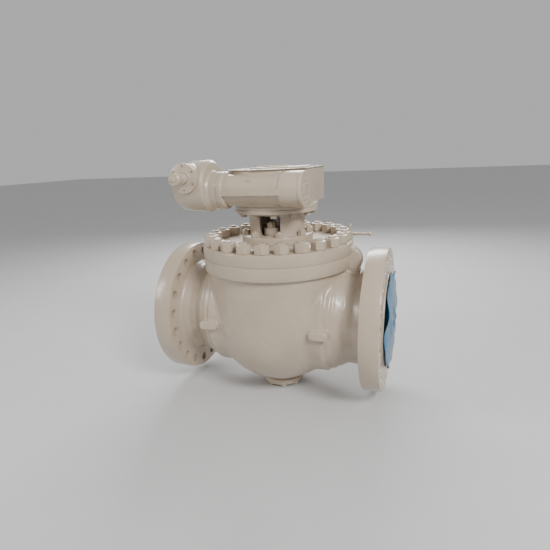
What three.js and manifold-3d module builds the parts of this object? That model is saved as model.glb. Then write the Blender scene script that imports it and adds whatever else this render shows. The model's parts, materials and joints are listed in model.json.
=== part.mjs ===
// Top-entry, trunnion-mounted quarter-turn valve with a double worm gear operator.
// Millimetres, +Z up along the stem, +X along the pipe. The origin is the centre of the
// standing pad under the bottom cover; the geometry below is drawn about the pipe axis.
import * as THREE from 'three';
import { mergeVertices } from 'three/addons/utils/BufferGeometryUtils.js';
import Module from 'manifold-3d';

const wasm = await Module();
wasm.setup();

// ---------------------------------------------------------------- driving dimensions
const GAP = 0.3;                    // clearance between pieces that touch
const RUN = 0.9;                    // clearance round a piece that turns
const PIPE_HEIGHT = 405;            // pipe axis above the standing pad
const STEM_SIDES = 20;              // facets round every bore and shaft on the stem axis
const PIPE_SIDES = 24;              // facets round the bore, the seats and the protectors

const BORE_R = 186.5;               // full bore of the pipe size
const FACE_TO_FACE = 1130;          // over the raised faces
const FLANGE = { r: 352.5, thick: 88.9, faceR: 235, faceHigh: 6.4, circleR: 308, holes: 20, holeR: 22.25 };
const NECK_R = 234;
const HUB_R = 254;
const SHOULDER = { r: 284, end: 290 };
const BOWL_R = 358;
const CAVITY_R = 300;
const TOP_FLANGE = { r: 381, bottom: 263, top: 326.5 };
const BOTTOM_BOSS = { r: 104, z: -360, holeR: 79 };
const LUG = { halfThick: 30, x: 367, z: 297, r: 67, footX: 422, foot: 225, clear: 1.3 };
const FITTING_BOSS = { from: 230, to: 332, low: -33, high: 21, face: -308 };

const BONNET = { r: 381, bottom: 326.8, top: 385, spigotR: 297.5, spigotBottom: 291 };
const STUDS = { count: 24, circleR: 338, r: 21, holeR: 21.8, from: 270, end: 435, phase: 7.5 };
const NUT = { acrossCorners: 75, high: 42 };

const BALL_R = 280;
const BALL_FLAT = 255;              // height of the ball's flats above and below its centre
const SEAT = { outerR: 225.4, pocketR: 226, back: 283, pocketEnd: 292, ringClear: 3.4 };
const SEAT_INSERT = { inner: 202, outer: 212, deep: 16, clear: 2.4 };
const SEAT_SPRING = { inner: 196, outer: 216, halfThick: 1.2, wave: 1.8, waves: 6, offset: 0.8 };
const STEM = { r: 50, upperR: 47.5, upperFrom: 523, flatHalf: 40, top: 728 };
const STEM_COLLAR = { r: 74, from: 288, to: 304 };
const STEM_BUSH = { flangeR: 78.4, flangeTop: 309.6, r: 54.7, top: 330 };
const BONNET_BORE = { stemR: 55, collarR: 79, collarTop: 310 };
const TANG = { halfLong: 48, halfWide: 22, from: 215 };
const TRUNNION = { r: 60, shoulderR: 78.4, top: -205, shoulderTop: -262 };
const TRUNNION_BUSH = { flangeR: 77, r: 68 };
const GASKET = { inner: 302, outer: 314.4, grooveR: 315, grooveDeep: 3.2 };
const PACKING = { r: 72, from: 332, to: 384 };
const GLAND = { plateFrom: 425, plateTo: 463, hubR: 76, lobeR: 37, lobeY: 78 };
const GLAND_STUD = { y: 90, r: 12, from: 362, to: 497, holeR: 12.8, nutR: 20.8, nutHigh: 22 };

const BOTTOM_COVER = { r: 110, thick: 28, padR: 66 };

const BRACKET = {
  tubeR: 141, innerR: 118, baseR: 181, baseTop: 424, flangeR: 208, flangeFrom: 538, top: 558,
};
const WINDOW = { azimuth: -86, halfAngle: 21.5, from: 426, to: 524 };

const HOUSING = { base: 558.3, floor: 578, floorTop: 598, top: 735.7, wallR: 226, cavityR: 180 };
const HOUSING_BOX = { right: 200, front: -150, back: 200 };
const COVER = { r: 236, overhang: 6, top: 745, holeR: 60 };
const INDICATOR = { r: 95, from: 745.4, to: 752, barLong: 75, barTop: 757 };
const SLEEVE = { r: 80, from: 560, to: 735 };
const WORM = { y: -200, z: 655, shaftR: 28, tunnelR: 52, left: -388, right: 190 };
const TUBE = { r: 72, bigR: 80.5, bigFrom: 91, right: 207 };
const TUBE_FLANGE = { r: 88, from: -217, to: -188 };
const END_CAP = { r: 76, to: 213 };
const DRUM = { r: 120, z: 677, left: -411, right: -255, wall: 20, neckR: 87 };
const REAR_BOSS = { r: 42, from: -140, to: -88 };
const WORM_BEARING = { left: -170, right: 150, halfWide: 14 };
const INPUT = { x: -325, z: 720, r: 25, tip: -417, back: -122 };
const INPUT_COVER = { r: 68, face: -332.6, thick: 12, spigotR: 43.6, spigotLong: 10 };
const PROTECTOR = { r: 240, dome: 34, skin: 4, skirtR: 185.5, depth: 32 };
const VENT = { x: 356, y: 95, rodZ: 406, rodR: 8, rodEnd: 464, bodyTop: 418 };
const VENT_SPINDLE = { r: 6, top: 456, barR: 3.5, barHalf: 22 };

// Worm pairs: a main worm under a toothed quadrant, and a primary worm on a small wheel.
const MAIN = wormPair({ distance: -WORM.y, wormPitchR: 34.5, teeth: 48, starts: 1 });
const PRIMARY = wormPair({ distance: INPUT.z - WORM.z, wormPitchR: 20, teeth: 18, starts: 2 });
const PRESSURE_ANGLE = THREE.MathUtils.degToRad(20);
const BACKLASH = 1.0;

function wormPair({ distance, wormPitchR, teeth, starts }) {
  const wheelPitchR = distance - wormPitchR;
  const module = 2 * wheelPitchR / teeth;
  const high = 0.85 * module;
  const deep = 1.15 * module;
  return { distance, wormPitchR, wheelPitchR, teeth, starts, module, high, deep };
}

// ---------------------------------------------------------------- materials
const LOOKS = {
  paint: { color: 0xc3b8ab, roughness: 0.42, metalness: 0 },
  steel: { color: 0x9a9b9c, roughness: 0.35, metalness: 0.9 },
  chrome: { color: 0xc9cbcd, roughness: 0.15, metalness: 1 },
  bronze: { color: 0xa9803f, roughness: 0.4, metalness: 0.9 },
  graphite: { color: 0x2b2b2d, roughness: 0.7, metalness: 0.1 },
  polymer: { color: 0xd8d2c0, roughness: 0.5, metalness: 0 },
  blue: { color: 0x4f8fb0, roughness: 0.45, metalness: 0 },
};

// ---------------------------------------------------------------- booleans
// A closed three.js geometry becomes a manifold solid, turned the right way out.
function solid(geometry) {
  const bare = geometry.clone();
  bare.deleteAttribute('normal');
  bare.deleteAttribute('uv');
  const merged = mergeVertices(bare, 1e-4);
  const index = merged.index.array;
  const triangles = [];
  for (let i = 0; i < index.length; i += 3) {
    const [a, b, c] = [index[i], index[i + 1], index[i + 2]];
    if (a !== b && b !== c && c !== a) triangles.push(a, b, c);
  }
  const corner = (i) => new THREE.Vector3().fromBufferAttribute(merged.attributes.position, i);
  let volume = 0;
  for (let i = 0; i < triangles.length; i += 3) {
    volume += corner(triangles[i]).dot(corner(triangles[i + 1]).cross(corner(triangles[i + 2])));
  }
  if (volume < 0) triangles.reverse();
  const vertProperties = new Float32Array(merged.attributes.position.array);
  const triVerts = new Uint32Array(triangles);
  return new wasm.Manifold(new wasm.Mesh({ numProp: 3, vertProperties, triVerts }));
}

function geometryOf(manifold) {
  const mesh = manifold.getMesh();
  const geometry = new THREE.BufferGeometry();
  geometry.setAttribute('position', new THREE.BufferAttribute(mesh.vertProperties, 3));
  geometry.setIndex(new THREE.BufferAttribute(mesh.triVerts, 1));
  const flat = geometry.toNonIndexed();
  flat.computeVertexNormals();
  return flat;
}

const asSolid = (shape) => (shape.isBufferGeometry ? solid(shape) : shape);
const join = (...shapes) => shapes.map(asSolid).reduce((sum, shape) => sum.add(shape));
const cut = (stock, ...tools) => (
  tools.map(asSolid).reduce((left, tool) => left.subtract(tool), asSolid(stock))
);
const common = (shape, other) => asSolid(shape).intersect(asSolid(other));

// ---------------------------------------------------------------- plain shapes
// Lathes: profiles are [radius, height] about Z, or [position, radius] about X or Y.
function latheZ(profile, segments = 40) {
  const points = profile.map(([radius, z]) => new THREE.Vector2(radius, z));
  return new THREE.LatheGeometry(points, segments).rotateX(Math.PI / 2);
}

function latheY(profile, segments = 24) {
  const points = profile.map(([y, radius]) => new THREE.Vector2(radius, y));
  return new THREE.LatheGeometry(points, segments);
}

function latheX(profile, segments = 40) {
  return latheY(profile, segments).rotateZ(-Math.PI / 2);
}

const rodZ = (r, from, to, segments = 16) => latheZ([[0, from], [r, from], [r, to], [0, to]], segments);
const rodY = (r, from, to, segments = 20) => latheY([[from, 0], [from, r], [to, r], [to, 0]], segments);
const rodX = (r, from, to, segments = 24) => latheX([[from, 0], [from, r], [to, r], [to, 0]], segments);

function ringZ(inner, outer, from, to, segments = 36) {
  return latheZ([[inner, from], [outer, from], [outer, to], [inner, to], [inner, from]], segments);
}

function ringX(inner, outer, from, to, segments = 36) {
  return latheX([[from, inner], [from, outer], [to, outer], [to, inner], [from, inner]], segments);
}

function block(x0, x1, y0, y1, z0, z1) {
  const box = new THREE.BoxGeometry(x1 - x0, y1 - y0, z1 - z0);
  return box.translate((x0 + x1) / 2, (y0 + y1) / 2, (z0 + z1) / 2);
}

function plate(shape, from, to) {
  const options = { depth: to - from, bevelEnabled: false, curveSegments: 8 };
  return new THREE.ExtrudeGeometry(shape, options).translate(0, 0, from);
}

// Points on a circular arc, first angle to last, in degrees.
function arc(centre, radius, first, last, steps) {
  const points = [];
  for (let i = 0; i <= steps; i += 1) {
    const angle = THREE.MathUtils.degToRad(first + (last - first) * i / steps);
    points.push([centre[0] + radius * Math.cos(angle), centre[1] + radius * Math.sin(angle)]);
  }
  return points;
}

// Copies of a geometry set around the Z axis, or around the X axis.
function around(axis, geometry, count, phase = 0) {
  const copies = [];
  for (let i = 0; i < count; i += 1) {
    const angle = THREE.MathUtils.degToRad(phase + 360 * i / count);
    const copy = geometry.clone();
    copies.push(axis === 'z' ? copy.rotateZ(angle) : copy.rotateX(angle));
  }
  return join(...copies);
}

// ---------------------------------------------------------------- worm and wheel teeth
// A worm along X whose threads cross the +Y side at whole pitches. The surface is a grid
// sheared along its own helix, closed by fans on the axis and trimmed to its length.
function wormThread(pair, from, to, turnSteps) {
  const pitch = Math.PI * pair.module;
  const lead = pitch * pair.starts;
  const tipR = pair.wormPitchR + pair.high;
  const rootR = pair.wormPitchR - pair.deep;
  const halfAtPitch = (pitch / 2 - BACKLASH / 2) / 2;
  const halfAt = (radius) => halfAtPitch - (radius - pair.wormPitchR) * Math.tan(PRESSURE_ANGLE);
  const [halfRoot, halfTip] = [halfAt(rootR), halfAt(tipR)];
  const section = [[-halfRoot, rootR], [-halfTip, tipR], [halfTip, tipR], [halfRoot, rootR]];
  const rows = [];
  for (let k = Math.floor(from / pitch) - pair.starts - 1; k <= Math.ceil(to / pitch) + 1; k += 1) {
    section.forEach(([offset, radius]) => rows.push([k * pitch + offset, radius]));
  }
  const last = rows.length - 1;
  const shift = section.length * pair.starts;
  const vertices = [];
  for (let column = 0; column <= turnSteps; column += 1) {
    const angle = 2 * Math.PI * column / turnSteps;
    const firstRow = column === turnSteps ? rows.length - shift : 0;
    for (const [x, radius] of rows.slice(firstRow)) {
      const along = x + lead * column / turnSteps;
      vertices.push(along, radius * Math.cos(angle), radius * Math.sin(angle));
    }
  }
  const id = (column, row) => {
    if (column < turnSteps) return column * rows.length + row;
    return row + shift <= last ? row + shift : turnSteps * rows.length + row - (rows.length - shift);
  };
  const index = [];
  for (let column = 0; column < turnSteps; column += 1) {
    for (let row = 0; row < last; row += 1) {
      index.push(id(column, row), id(column + 1, row), id(column, row + 1));
      index.push(id(column, row + 1), id(column + 1, row), id(column + 1, row + 1));
    }
  }
  const lowLoop = [];
  const highLoop = [];
  for (let column = 0; column <= turnSteps; column += 1) {
    lowLoop.unshift(id(column, 0));
    highLoop.push(id(column, last));
  }
  for (let row = 1; row < shift; row += 1) {
    lowLoop.push(id(0, row));
    highLoop.push(id(turnSteps, last - row));
  }
  for (const [loop, x] of [[lowLoop, rows[0][0] + lead / 2], [highLoop, rows[last][0] + lead / 2]]) {
    const centre = vertices.length / 3;
    vertices.push(x, 0, 0);
    loop.forEach((vertex, i) => index.push(centre, vertex, loop[(i + 1) % loop.length]));
  }
  const geometry = new THREE.BufferGeometry();
  geometry.setAttribute('position', new THREE.Float32BufferAttribute(vertices, 3));
  geometry.setIndex(index);
  return common(geometry, rodX(tipR + 1, from, to, turnSteps));
}

// A toothed disc about Z whose teeth fit the worm on its -Y side. Its teeth follow the
// worm's helix, slice by slice, and cover the angles from first to last, in degrees.
function toothedDisc(pair, halfWide, slices, first, last, plainR) {
  const rootR = pair.wheelPitchR - pair.deep;
  const tipR = pair.wheelPitchR + pair.high;
  const baseR = pair.wheelPitchR * Math.cos(PRESSURE_ANGLE);
  const involute = (radius) => {
    const angle = Math.acos(Math.min(1, baseR / radius));
    return Math.tan(angle) - angle;
  };
  const pitchHalf = (Math.PI * pair.module / 2 - BACKLASH / 2) / 2 / pair.wheelPitchR;
  const halfAngle = (radius) => pitchHalf + involute(pair.wheelPitchR) - involute(radius);
  const step = 2 * Math.PI / pair.teeth;
  const flank = [rootR, pair.wheelPitchR, tipR];
  const outline = [];
  for (let tooth = 0; tooth < pair.teeth; tooth += 1) {
    const centre = (tooth + 0.5) * step;
    const degrees = THREE.MathUtils.radToDeg(centre);
    const signed = degrees > (first + last) / 2 + 180 ? degrees - 360 : degrees;
    if (signed > first && signed < last) {
      flank.forEach((radius) => outline.push([radius, centre - halfAngle(radius)]));
      [...flank].reverse().forEach((radius) => outline.push([radius, centre + halfAngle(radius)]));
    } else {
      outline.push([plainR, centre]);
    }
  }
  const lead = Math.PI * pair.module * pair.starts;
  const vertices = [];
  for (let slice = 0; slice <= slices; slice += 1) {
    const z = -halfWide + 2 * halfWide * slice / slices;
    for (const [radius, angle] of outline) {
      const wormAngle = Math.atan2(z, pair.distance - radius);
      const twist = radius < rootR ? 0 : lead * wormAngle / (2 * Math.PI * radius);
      const turned = angle + twist - Math.PI / 2;
      vertices.push(radius * Math.cos(turned), radius * Math.sin(turned), z);
    }
  }
  const count = outline.length;
  const index = [];
  for (let slice = 0; slice < slices; slice += 1) {
    for (let i = 0; i < count; i += 1) {
      const [a, b] = [slice * count + i, slice * count + (i + 1) % count];
      index.push(a, b, a + count, b, b + count, a + count);
    }
  }
  const low = vertices.length / 3;
  vertices.push(0, 0, -halfWide, 0, 0, halfWide);
  for (let i = 0; i < count; i += 1) {
    const next = (i + 1) % count;
    index.push(low, next, i, low + 1, slices * count + i, slices * count + next);
  }
  const geometry = new THREE.BufferGeometry();
  geometry.setAttribute('position', new THREE.Float32BufferAttribute(vertices, 3));
  geometry.setIndex(index);
  return geometry;
}

// ---------------------------------------------------------------- pressure shell
function valveBody() {
  const end = FACE_TO_FACE / 2;
  const rim = end - FLANGE.faceHigh;
  const back = rim - FLANGE.thick;
  const half = [
    [SHOULDER.end, SHOULDER.r], [SHOULDER.end + 10, SHOULDER.r - 15], [345, HUB_R], [382, NECK_R],
    [425, NECK_R], [back, HUB_R], [back, FLANGE.r], [rim, FLANGE.r],
    [rim, FLANGE.faceR], [end, FLANGE.faceR], [end, 0],
  ];
  const mirrored = half.map(([x, radius]) => [-x, radius]).reverse();
  const run = latheX([...mirrored, ...half], 32);
  const upper = latheZ([
    ...arc([0, 0], BOWL_R, -90, 0, 8), [BOWL_R, TOP_FLANGE.bottom], [TOP_FLANGE.r, TOP_FLANGE.bottom],
    [TOP_FLANGE.r, TOP_FLANGE.top], [0, TOP_FLANGE.top],
  ], 32);
  const boss = latheZ([
    [0, -320], [BOTTOM_BOSS.r + 12, -330], [BOTTOM_BOSS.r, -345],
    [BOTTOM_BOSS.r, BOTTOM_BOSS.z], [0, BOTTOM_BOSS.z],
  ], 24);
  const cavity = latheZ([
    ...arc([0, 0], CAVITY_R, -90, 0, 6), [CAVITY_R, TOP_FLANGE.top + 1], [0, TOP_FLANGE.top + 1],
  ], 28);
  const pockets = rodX(SEAT.pocketR, -SEAT.pocketEnd, SEAT.pocketEnd, PIPE_SIDES);
  const bore = rodX(BORE_R, -end - 1, end + 1, PIPE_SIDES);
  const bottomHole = rodZ(BOTTOM_BOSS.holeR, BOTTOM_BOSS.z - 1, -270, STEM_SIDES);
  const gasketStep = rodZ(GASKET.grooveR, TOP_FLANGE.top - GASKET.grooveDeep, TOP_FLANGE.top + 1, 28);
  const studHole = rodZ(STUDS.holeR, STUDS.from - 2, TOP_FLANGE.top + 1, 8).translate(STUDS.circleR, 0, 0);
  const flangeHole = rodX(FLANGE.holeR, back - 1, rim + 1, 8).translate(0, 0, FLANGE.circleR);
  const leftHole = flangeHole.clone().translate(-back - rim, 0, 0);
  const shell = join(run, upper, boss, lug(1), lug(-1), fittingBoss(1), fittingBoss(-1));
  return cut(
    shell, cavity, pockets, bore, bottomHole, gasketStep,
    around('z', studHole, STUDS.count, STUDS.phase),
    around('x', flangeHole, FLANGE.holes, 180 / FLANGE.holes),
    around('x', leftHole, FLANGE.holes, 180 / FLANGE.holes),
  );
}

// A round lifting ear on one side of the body, standing on the neck and clear of the bonnet.
function lug(side) {
  const inner = BONNET.r + LUG.clear;
  const shelf = TOP_FLANGE.top - 3;
  const outline = new THREE.Shape();
  outline.moveTo(300, LUG.foot);
  outline.lineTo(LUG.footX, LUG.foot);
  outline.absarc(LUG.x, LUG.z, LUG.r, -Math.PI / 6, Math.acos((inner - LUG.x) / LUG.r), false);
  outline.lineTo(inner, shelf);
  outline.lineTo(300, shelf);
  const ear = plate(outline, -LUG.halfThick, LUG.halfThick).rotateX(Math.PI / 2);
  return side > 0 ? ear : ear.rotateZ(Math.PI);
}

// A stubby horizontal boss on the front of the body, over each seat.
function fittingBoss(side) {
  const { from, to, low, high, face } = FITTING_BOSS;
  const outline = new THREE.Shape();
  const radius = 14;
  outline.absarc(to - radius, high - radius, radius, 0, Math.PI / 2, false);
  outline.absarc(from + radius, high - radius, radius, Math.PI / 2, Math.PI, false);
  outline.absarc(from + radius, low + radius, radius, Math.PI, 1.5 * Math.PI, false);
  outline.absarc(to - radius, low + radius, radius, 1.5 * Math.PI, 2 * Math.PI, false);
  const boss = plate(outline, -face - 68, -face).rotateX(Math.PI / 2);
  const middle = (from + to) / 2;
  return side > 0 ? boss : boss.translate(-2 * middle, 0, 0);
}

function bonnet() {
  const disc = latheZ([
    [0, BONNET.spigotBottom], [BONNET.spigotR, BONNET.spigotBottom], [BONNET.spigotR, BONNET.bottom],
    [BONNET.r, BONNET.bottom], [BONNET.r, BONNET.top], [0, BONNET.top],
  ], 32);
  const studHole = rodZ(STUDS.holeR, BONNET.bottom - 1, BONNET.top + 1, 8).translate(STUDS.circleR, 0, 0);
  const glandHole = rodZ(GLAND_STUD.holeR, GLAND_STUD.from - 2, BONNET.top + 1, 8);
  return cut(
    disc, around('z', studHole, STUDS.count, STUDS.phase),
    rodZ(BONNET_BORE.stemR, BONNET.spigotBottom - 1, BONNET.top + 1, STEM_SIDES),
    rodZ(PACKING.r, PACKING.from - GAP, BONNET.top + 1, STEM_SIDES),
    rodZ(BONNET_BORE.collarR, BONNET.spigotBottom - 1, BONNET_BORE.collarTop, STEM_SIDES),
    glandHole.clone().translate(0, GLAND_STUD.y, 0), glandHole.translate(0, -GLAND_STUD.y, 0),
  );
}

// A stud with its heavy nut, standing at the origin.
function bonnetStud() {
  const stud = rodZ(STUDS.r, STUDS.from, STUDS.end, 8);
  const bottom = BONNET.top + GAP;
  const top = bottom + NUT.high;
  const corner = NUT.acrossCorners / 2;
  return join(stud, rodZ(corner, bottom, top, 6));
}

function bonnetGasket() {
  return ringZ(GASKET.inner, GASKET.outer, TOP_FLANGE.top - GASKET.grooveDeep + GAP, TOP_FLANGE.top, 28);
}

function bottomCover() {
  const top = BOTTOM_BOSS.z - GAP;
  const under = top - BOTTOM_COVER.thick;
  return latheZ([
    [0, -PIPE_HEIGHT], [BOTTOM_COVER.padR, -PIPE_HEIGHT], [BOTTOM_COVER.padR, under],
    [BOTTOM_COVER.r - 3, under], [BOTTOM_COVER.r, under + 3], [BOTTOM_COVER.r, top], [0, top],
  ], 24);
}

// ---------------------------------------------------------------- closure and stem
function ball() {
  const flat = THREE.MathUtils.radToDeg(Math.asin(BALL_FLAT / BALL_R));
  const sphere = latheZ([[0, -BALL_FLAT], ...arc([0, 0], BALL_R, -flat, flat, 10), [0, BALL_FLAT]], 28);
  const neck = rodZ(STEM_COLLAR.r - 2, BALL_FLAT - 20, STEM_COLLAR.from - 2, STEM_SIDES);
  const [halfLong, halfWide] = [TANG.halfLong + GAP, TANG.halfWide + GAP];
  const slot = block(-halfLong, halfLong, -halfWide, halfWide, TANG.from - GAP, STEM_COLLAR.from);
  const trunnionHole = rodZ(TRUNNION_BUSH.r + GAP + RUN, -BALL_FLAT - 1, TRUNNION.top + 1, STEM_SIDES);
  return cut(join(sphere, neck), rodX(BORE_R, -BALL_R, BALL_R, PIPE_SIDES), slot, trunnionHole);
}

function stem() {
  const shaft = latheZ([
    [0, STEM_COLLAR.from], [STEM_COLLAR.r, STEM_COLLAR.from], [STEM_COLLAR.r, STEM_COLLAR.to],
    [STEM.r, STEM_COLLAR.to], [STEM.r, STEM.upperFrom - 3], [STEM.upperR, STEM.upperFrom],
    [STEM.upperR, STEM.top - 2], [STEM.upperR - 2, STEM.top], [0, STEM.top],
  ], STEM_SIDES);
  const { halfLong, halfWide } = TANG;
  const tang = block(-halfLong, halfLong, -halfWide, halfWide, TANG.from, STEM_COLLAR.from + 1);
  const front = block(-60, 60, -60, -STEM.flatHalf, SLEEVE.from, STEM.top + 1);
  const back = block(-60, 60, STEM.flatHalf, 60, SLEEVE.from, STEM.top + 1);
  return join(cut(shaft, front, back), tang);
}

// A flanged bush around the stem, above its collar.
function stemBush() {
  const bottom = STEM_COLLAR.to + GAP;
  const { flangeR, flangeTop, r, top } = STEM_BUSH;
  return latheZ([
    [STEM.r + RUN, bottom], [flangeR, bottom], [flangeR, flangeTop], [r, flangeTop],
    [r, top], [STEM.r + RUN, top], [STEM.r + RUN, bottom],
  ], STEM_SIDES);
}

function lowerTrunnion() {
  return latheZ([
    [0, BOTTOM_BOSS.z + GAP], [TRUNNION.shoulderR, BOTTOM_BOSS.z + GAP],
    [TRUNNION.shoulderR, TRUNNION.shoulderTop], [TRUNNION.r, TRUNNION.shoulderTop],
    [TRUNNION.r, TRUNNION.top - 3], [TRUNNION.r - 3, TRUNNION.top], [0, TRUNNION.top],
  ], STEM_SIDES);
}

function trunnionBush() {
  const inner = TRUNNION.r + GAP;
  const bottom = TRUNNION.shoulderTop + GAP;
  const { flangeR, r } = TRUNNION_BUSH;
  return latheZ([
    [inner, bottom], [flangeR, bottom], [flangeR, -BALL_FLAT - GAP], [r, -BALL_FLAT - GAP],
    [r, TRUNNION.top - 3], [inner, TRUNNION.top - 3], [inner, bottom],
  ], STEM_SIDES);
}

// Seat ring on the +X side, its front face following the ball with clearance.
function seatRing() {
  const faceR = BALL_R + SEAT.ringClear;
  const front = (radius) => [Math.sqrt(faceR ** 2 - radius ** 2), radius];
  const { inner, outer, deep } = SEAT_INSERT;
  const floor = front(outer)[0] + deep;
  return latheX([
    [SEAT.back, BORE_R], front(BORE_R + 3), front(inner), [floor, inner],
    [floor, outer], front(outer), [front(outer + 6)[0] + 3, SEAT.outerR],
    [SEAT.back, SEAT.outerR], [SEAT.back, BORE_R],
  ], PIPE_SIDES);
}

function seatInsert() {
  const faceR = BALL_R + SEAT_INSERT.clear;
  const front = (radius) => [Math.sqrt(faceR ** 2 - radius ** 2), radius];
  const inner = SEAT_INSERT.inner + GAP;
  const outer = SEAT_INSERT.outer - GAP;
  const grooveFace = Math.sqrt((BALL_R + SEAT.ringClear) ** 2 - SEAT_INSERT.outer ** 2);
  const floor = grooveFace + SEAT_INSERT.deep - GAP;
  return latheX([[floor, inner], front(inner), front(outer), [floor, outer], [floor, inner]], PIPE_SIDES);
}

// A wave spring behind each seat: a flat ring bent to and fro along the pipe.
function seatSpring() {
  const steps = 36;
  const { inner, outer, halfThick, wave, waves, offset } = SEAT_SPRING;
  const section = [[inner, -halfThick], [outer, -halfThick], [outer, halfThick], [inner, halfThick]];
  const middle = (SEAT.back + SEAT.pocketEnd) / 2 + offset;
  const vertices = [];
  const index = [];
  for (let i = 0; i < steps; i += 1) {
    const angle = 2 * Math.PI * i / steps;
    const bend = middle + wave * Math.cos(waves * angle);
    for (const [radius, rise] of section) {
      vertices.push(bend + rise, radius * Math.cos(angle), radius * Math.sin(angle));
    }
    for (let j = 0; j < 4; j += 1) {
      const [a, b] = [i * 4 + j, i * 4 + (j + 1) % 4];
      const [c, d] = [((i + 1) % steps) * 4 + j, ((i + 1) % steps) * 4 + (j + 1) % 4];
      index.push(a, c, b, b, c, d);
    }
  }
  const geometry = new THREE.BufferGeometry();
  geometry.setAttribute('position', new THREE.Float32BufferAttribute(vertices, 3));
  geometry.setIndex(index);
  return geometry;
}

// ---------------------------------------------------------------- stem seal and bracket
// The gland follower: a sleeve in the packing box and a two-lobed plate above it.
function glandFlange() {
  const hub = rodZ(GLAND.hubR, GLAND.plateFrom, GLAND.plateTo, STEM_SIDES);
  const lobe = rodZ(GLAND.lobeR, GLAND.plateFrom, GLAND.plateTo, 16);
  const sleeve = rodZ(PACKING.r - GAP, PACKING.to + GAP, GLAND.plateFrom + 1, STEM_SIDES);
  const studHole = rodZ(GLAND_STUD.holeR, GLAND.plateFrom - 1, GLAND.plateTo + 1, 8);
  const stemHole = rodZ(STEM.r + 1, PACKING.to, GLAND.plateTo + 1, STEM_SIDES);
  const lobes = [-1, 1].map((side) => lobe.clone().translate(0, side * GLAND.lobeY, 0));
  const holes = [-1, 1].map((side) => studHole.clone().translate(0, side * GLAND_STUD.y, 0));
  return cut(join(hub, sleeve, ...lobes), ...holes, stemHole);
}

function glandStud() {
  const { r, from, to, nutR, nutHigh } = GLAND_STUD;
  const bottom = GLAND.plateTo + GAP;
  return join(rodZ(r, from, to, 8), rodZ(nutR, bottom, bottom + nutHigh, 6));
}

function bracket() {
  const spool = latheZ([
    [BRACKET.innerR, BONNET.top + GAP], [BRACKET.baseR, BONNET.top + GAP], [BRACKET.baseR, BRACKET.baseTop],
    [BRACKET.tubeR, BRACKET.baseTop], [BRACKET.tubeR, BRACKET.flangeFrom],
    [BRACKET.flangeR, BRACKET.flangeFrom],
    [BRACKET.flangeR, BRACKET.top], [BRACKET.innerR, BRACKET.top], [BRACKET.innerR, BONNET.top + GAP],
  ], 32);
  const half = BRACKET.tubeR * Math.sin(THREE.MathUtils.degToRad(WINDOW.halfAngle));
  const corner = 14;
  const opening = new THREE.Shape();
  opening.moveTo(half, WINDOW.to);
  opening.lineTo(-half, WINDOW.to);
  opening.absarc(-half + corner, WINDOW.from + corner, corner, Math.PI, 1.5 * Math.PI, false);
  opening.absarc(half - corner, WINDOW.from + corner, corner, 1.5 * Math.PI, 2 * Math.PI, false);
  const reach = BRACKET.tubeR + 5;
  const window = plate(opening, -reach, reach).rotateX(Math.PI / 2);
  return cut(spool, window.rotateZ(THREE.MathUtils.degToRad(WINDOW.azimuth + 90)));
}

// ---------------------------------------------------------------- gear operator
// Plan outline of the gear case: a round left end about the stem and a square right end.
function casePlan(radius, overhang) {
  const right = HOUSING_BOX.right + overhang;
  const back = HOUSING_BOX.back + overhang;
  const front = HOUSING_BOX.front - overhang;
  const corner = 12;
  const meet = (limit) => Math.asin(limit / radius);
  const outline = new THREE.Shape();
  outline.absarc(0, 0, radius, meet(back), 2 * Math.PI + meet(front), false);
  outline.absarc(right - corner, front + corner, corner, 1.5 * Math.PI, 2 * Math.PI, false);
  outline.absarc(right - corner, back - corner, corner, 0, Math.PI / 2, false);
  return outline;
}

function atWorm(geometry) {
  return geometry.translate(0, WORM.y, WORM.z);
}

function gearboxHousing() {
  const walls = plate(casePlan(HOUSING.wallR, 0), HOUSING.floor - 1, HOUSING.top);
  const base = rodZ(BRACKET.flangeR, HOUSING.base, HOUSING.floor, 32);
  const tube = atWorm(rodX(TUBE.r, TUBE_FLANGE.to - 2, TUBE.bigFrom + 2));
  const bigTube = atWorm(rodX(TUBE.bigR, TUBE.bigFrom, TUBE.right, 32));
  const endFlange = atWorm(rodX(TUBE_FLANGE.r, TUBE_FLANGE.from, TUBE_FLANGE.to, 32));
  const ledge = block(-204, 87, WORM.y - TUBE.r - 6, WORM.y, WORM.z - 21, WORM.z + 4);
  const capSeat = atWorm(rodX(END_CAP.r - 4, TUBE.right - 6, TUBE.right + 1));
  const tunnel = atWorm(rodX(WORM.tunnelR, TUBE_FLANGE.from - 1, TUBE.right + 1));
  return cut(
    join(base, walls, tube, bigTube, endFlange, ledge),
    rodZ(HOUSING.cavityR, HOUSING.floorTop, HOUSING.top + 1, 32),
    rodZ(SLEEVE.r + 4, HOUSING.base - 1, HOUSING.floorTop + 1, 32),
    tunnel, capSeat,
  );
}

function gearboxCover() {
  const lid = plate(casePlan(COVER.r, COVER.overhang), HOUSING.top + GAP, COVER.top);
  return cut(lid, rodZ(COVER.holeR, HOUSING.top - 1, COVER.top + 1, 32));
}

function positionIndicator() {
  const disc = latheZ([
    [0, SLEEVE.to + GAP], [COVER.holeR - 4, SLEEVE.to + GAP], [COVER.holeR - 4, INDICATOR.from],
    [INDICATOR.r, INDICATOR.from], [INDICATOR.r, INDICATOR.to], [0, INDICATOR.to],
  ], 32);
  return join(disc, block(-INDICATOR.barLong, INDICATOR.barLong, -8, 8, INDICATOR.to - 1, INDICATOR.barTop));
}

// Toothed quadrant and its drive sleeve on the stem's two flats.
function wormQuadrant() {
  const quadrant = toothedDisc(MAIN, 22, 2, -22, 112, 112).translate(0, 0, WORM.z);
  const sleeve = rodZ(SLEEVE.r, SLEEVE.from, SLEEVE.to, 32);
  const roundBore = rodZ(STEM.upperR + 0.5, SLEEVE.from - 1, STEM.top + 2, STEM_SIDES);
  const flats = block(-60, 60, -STEM.flatHalf - 0.4, STEM.flatHalf + 0.4, SLEEVE.from - 2, STEM.top + 3);
  return cut(join(quadrant, sleeve), common(roundBore, flats));
}

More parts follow.
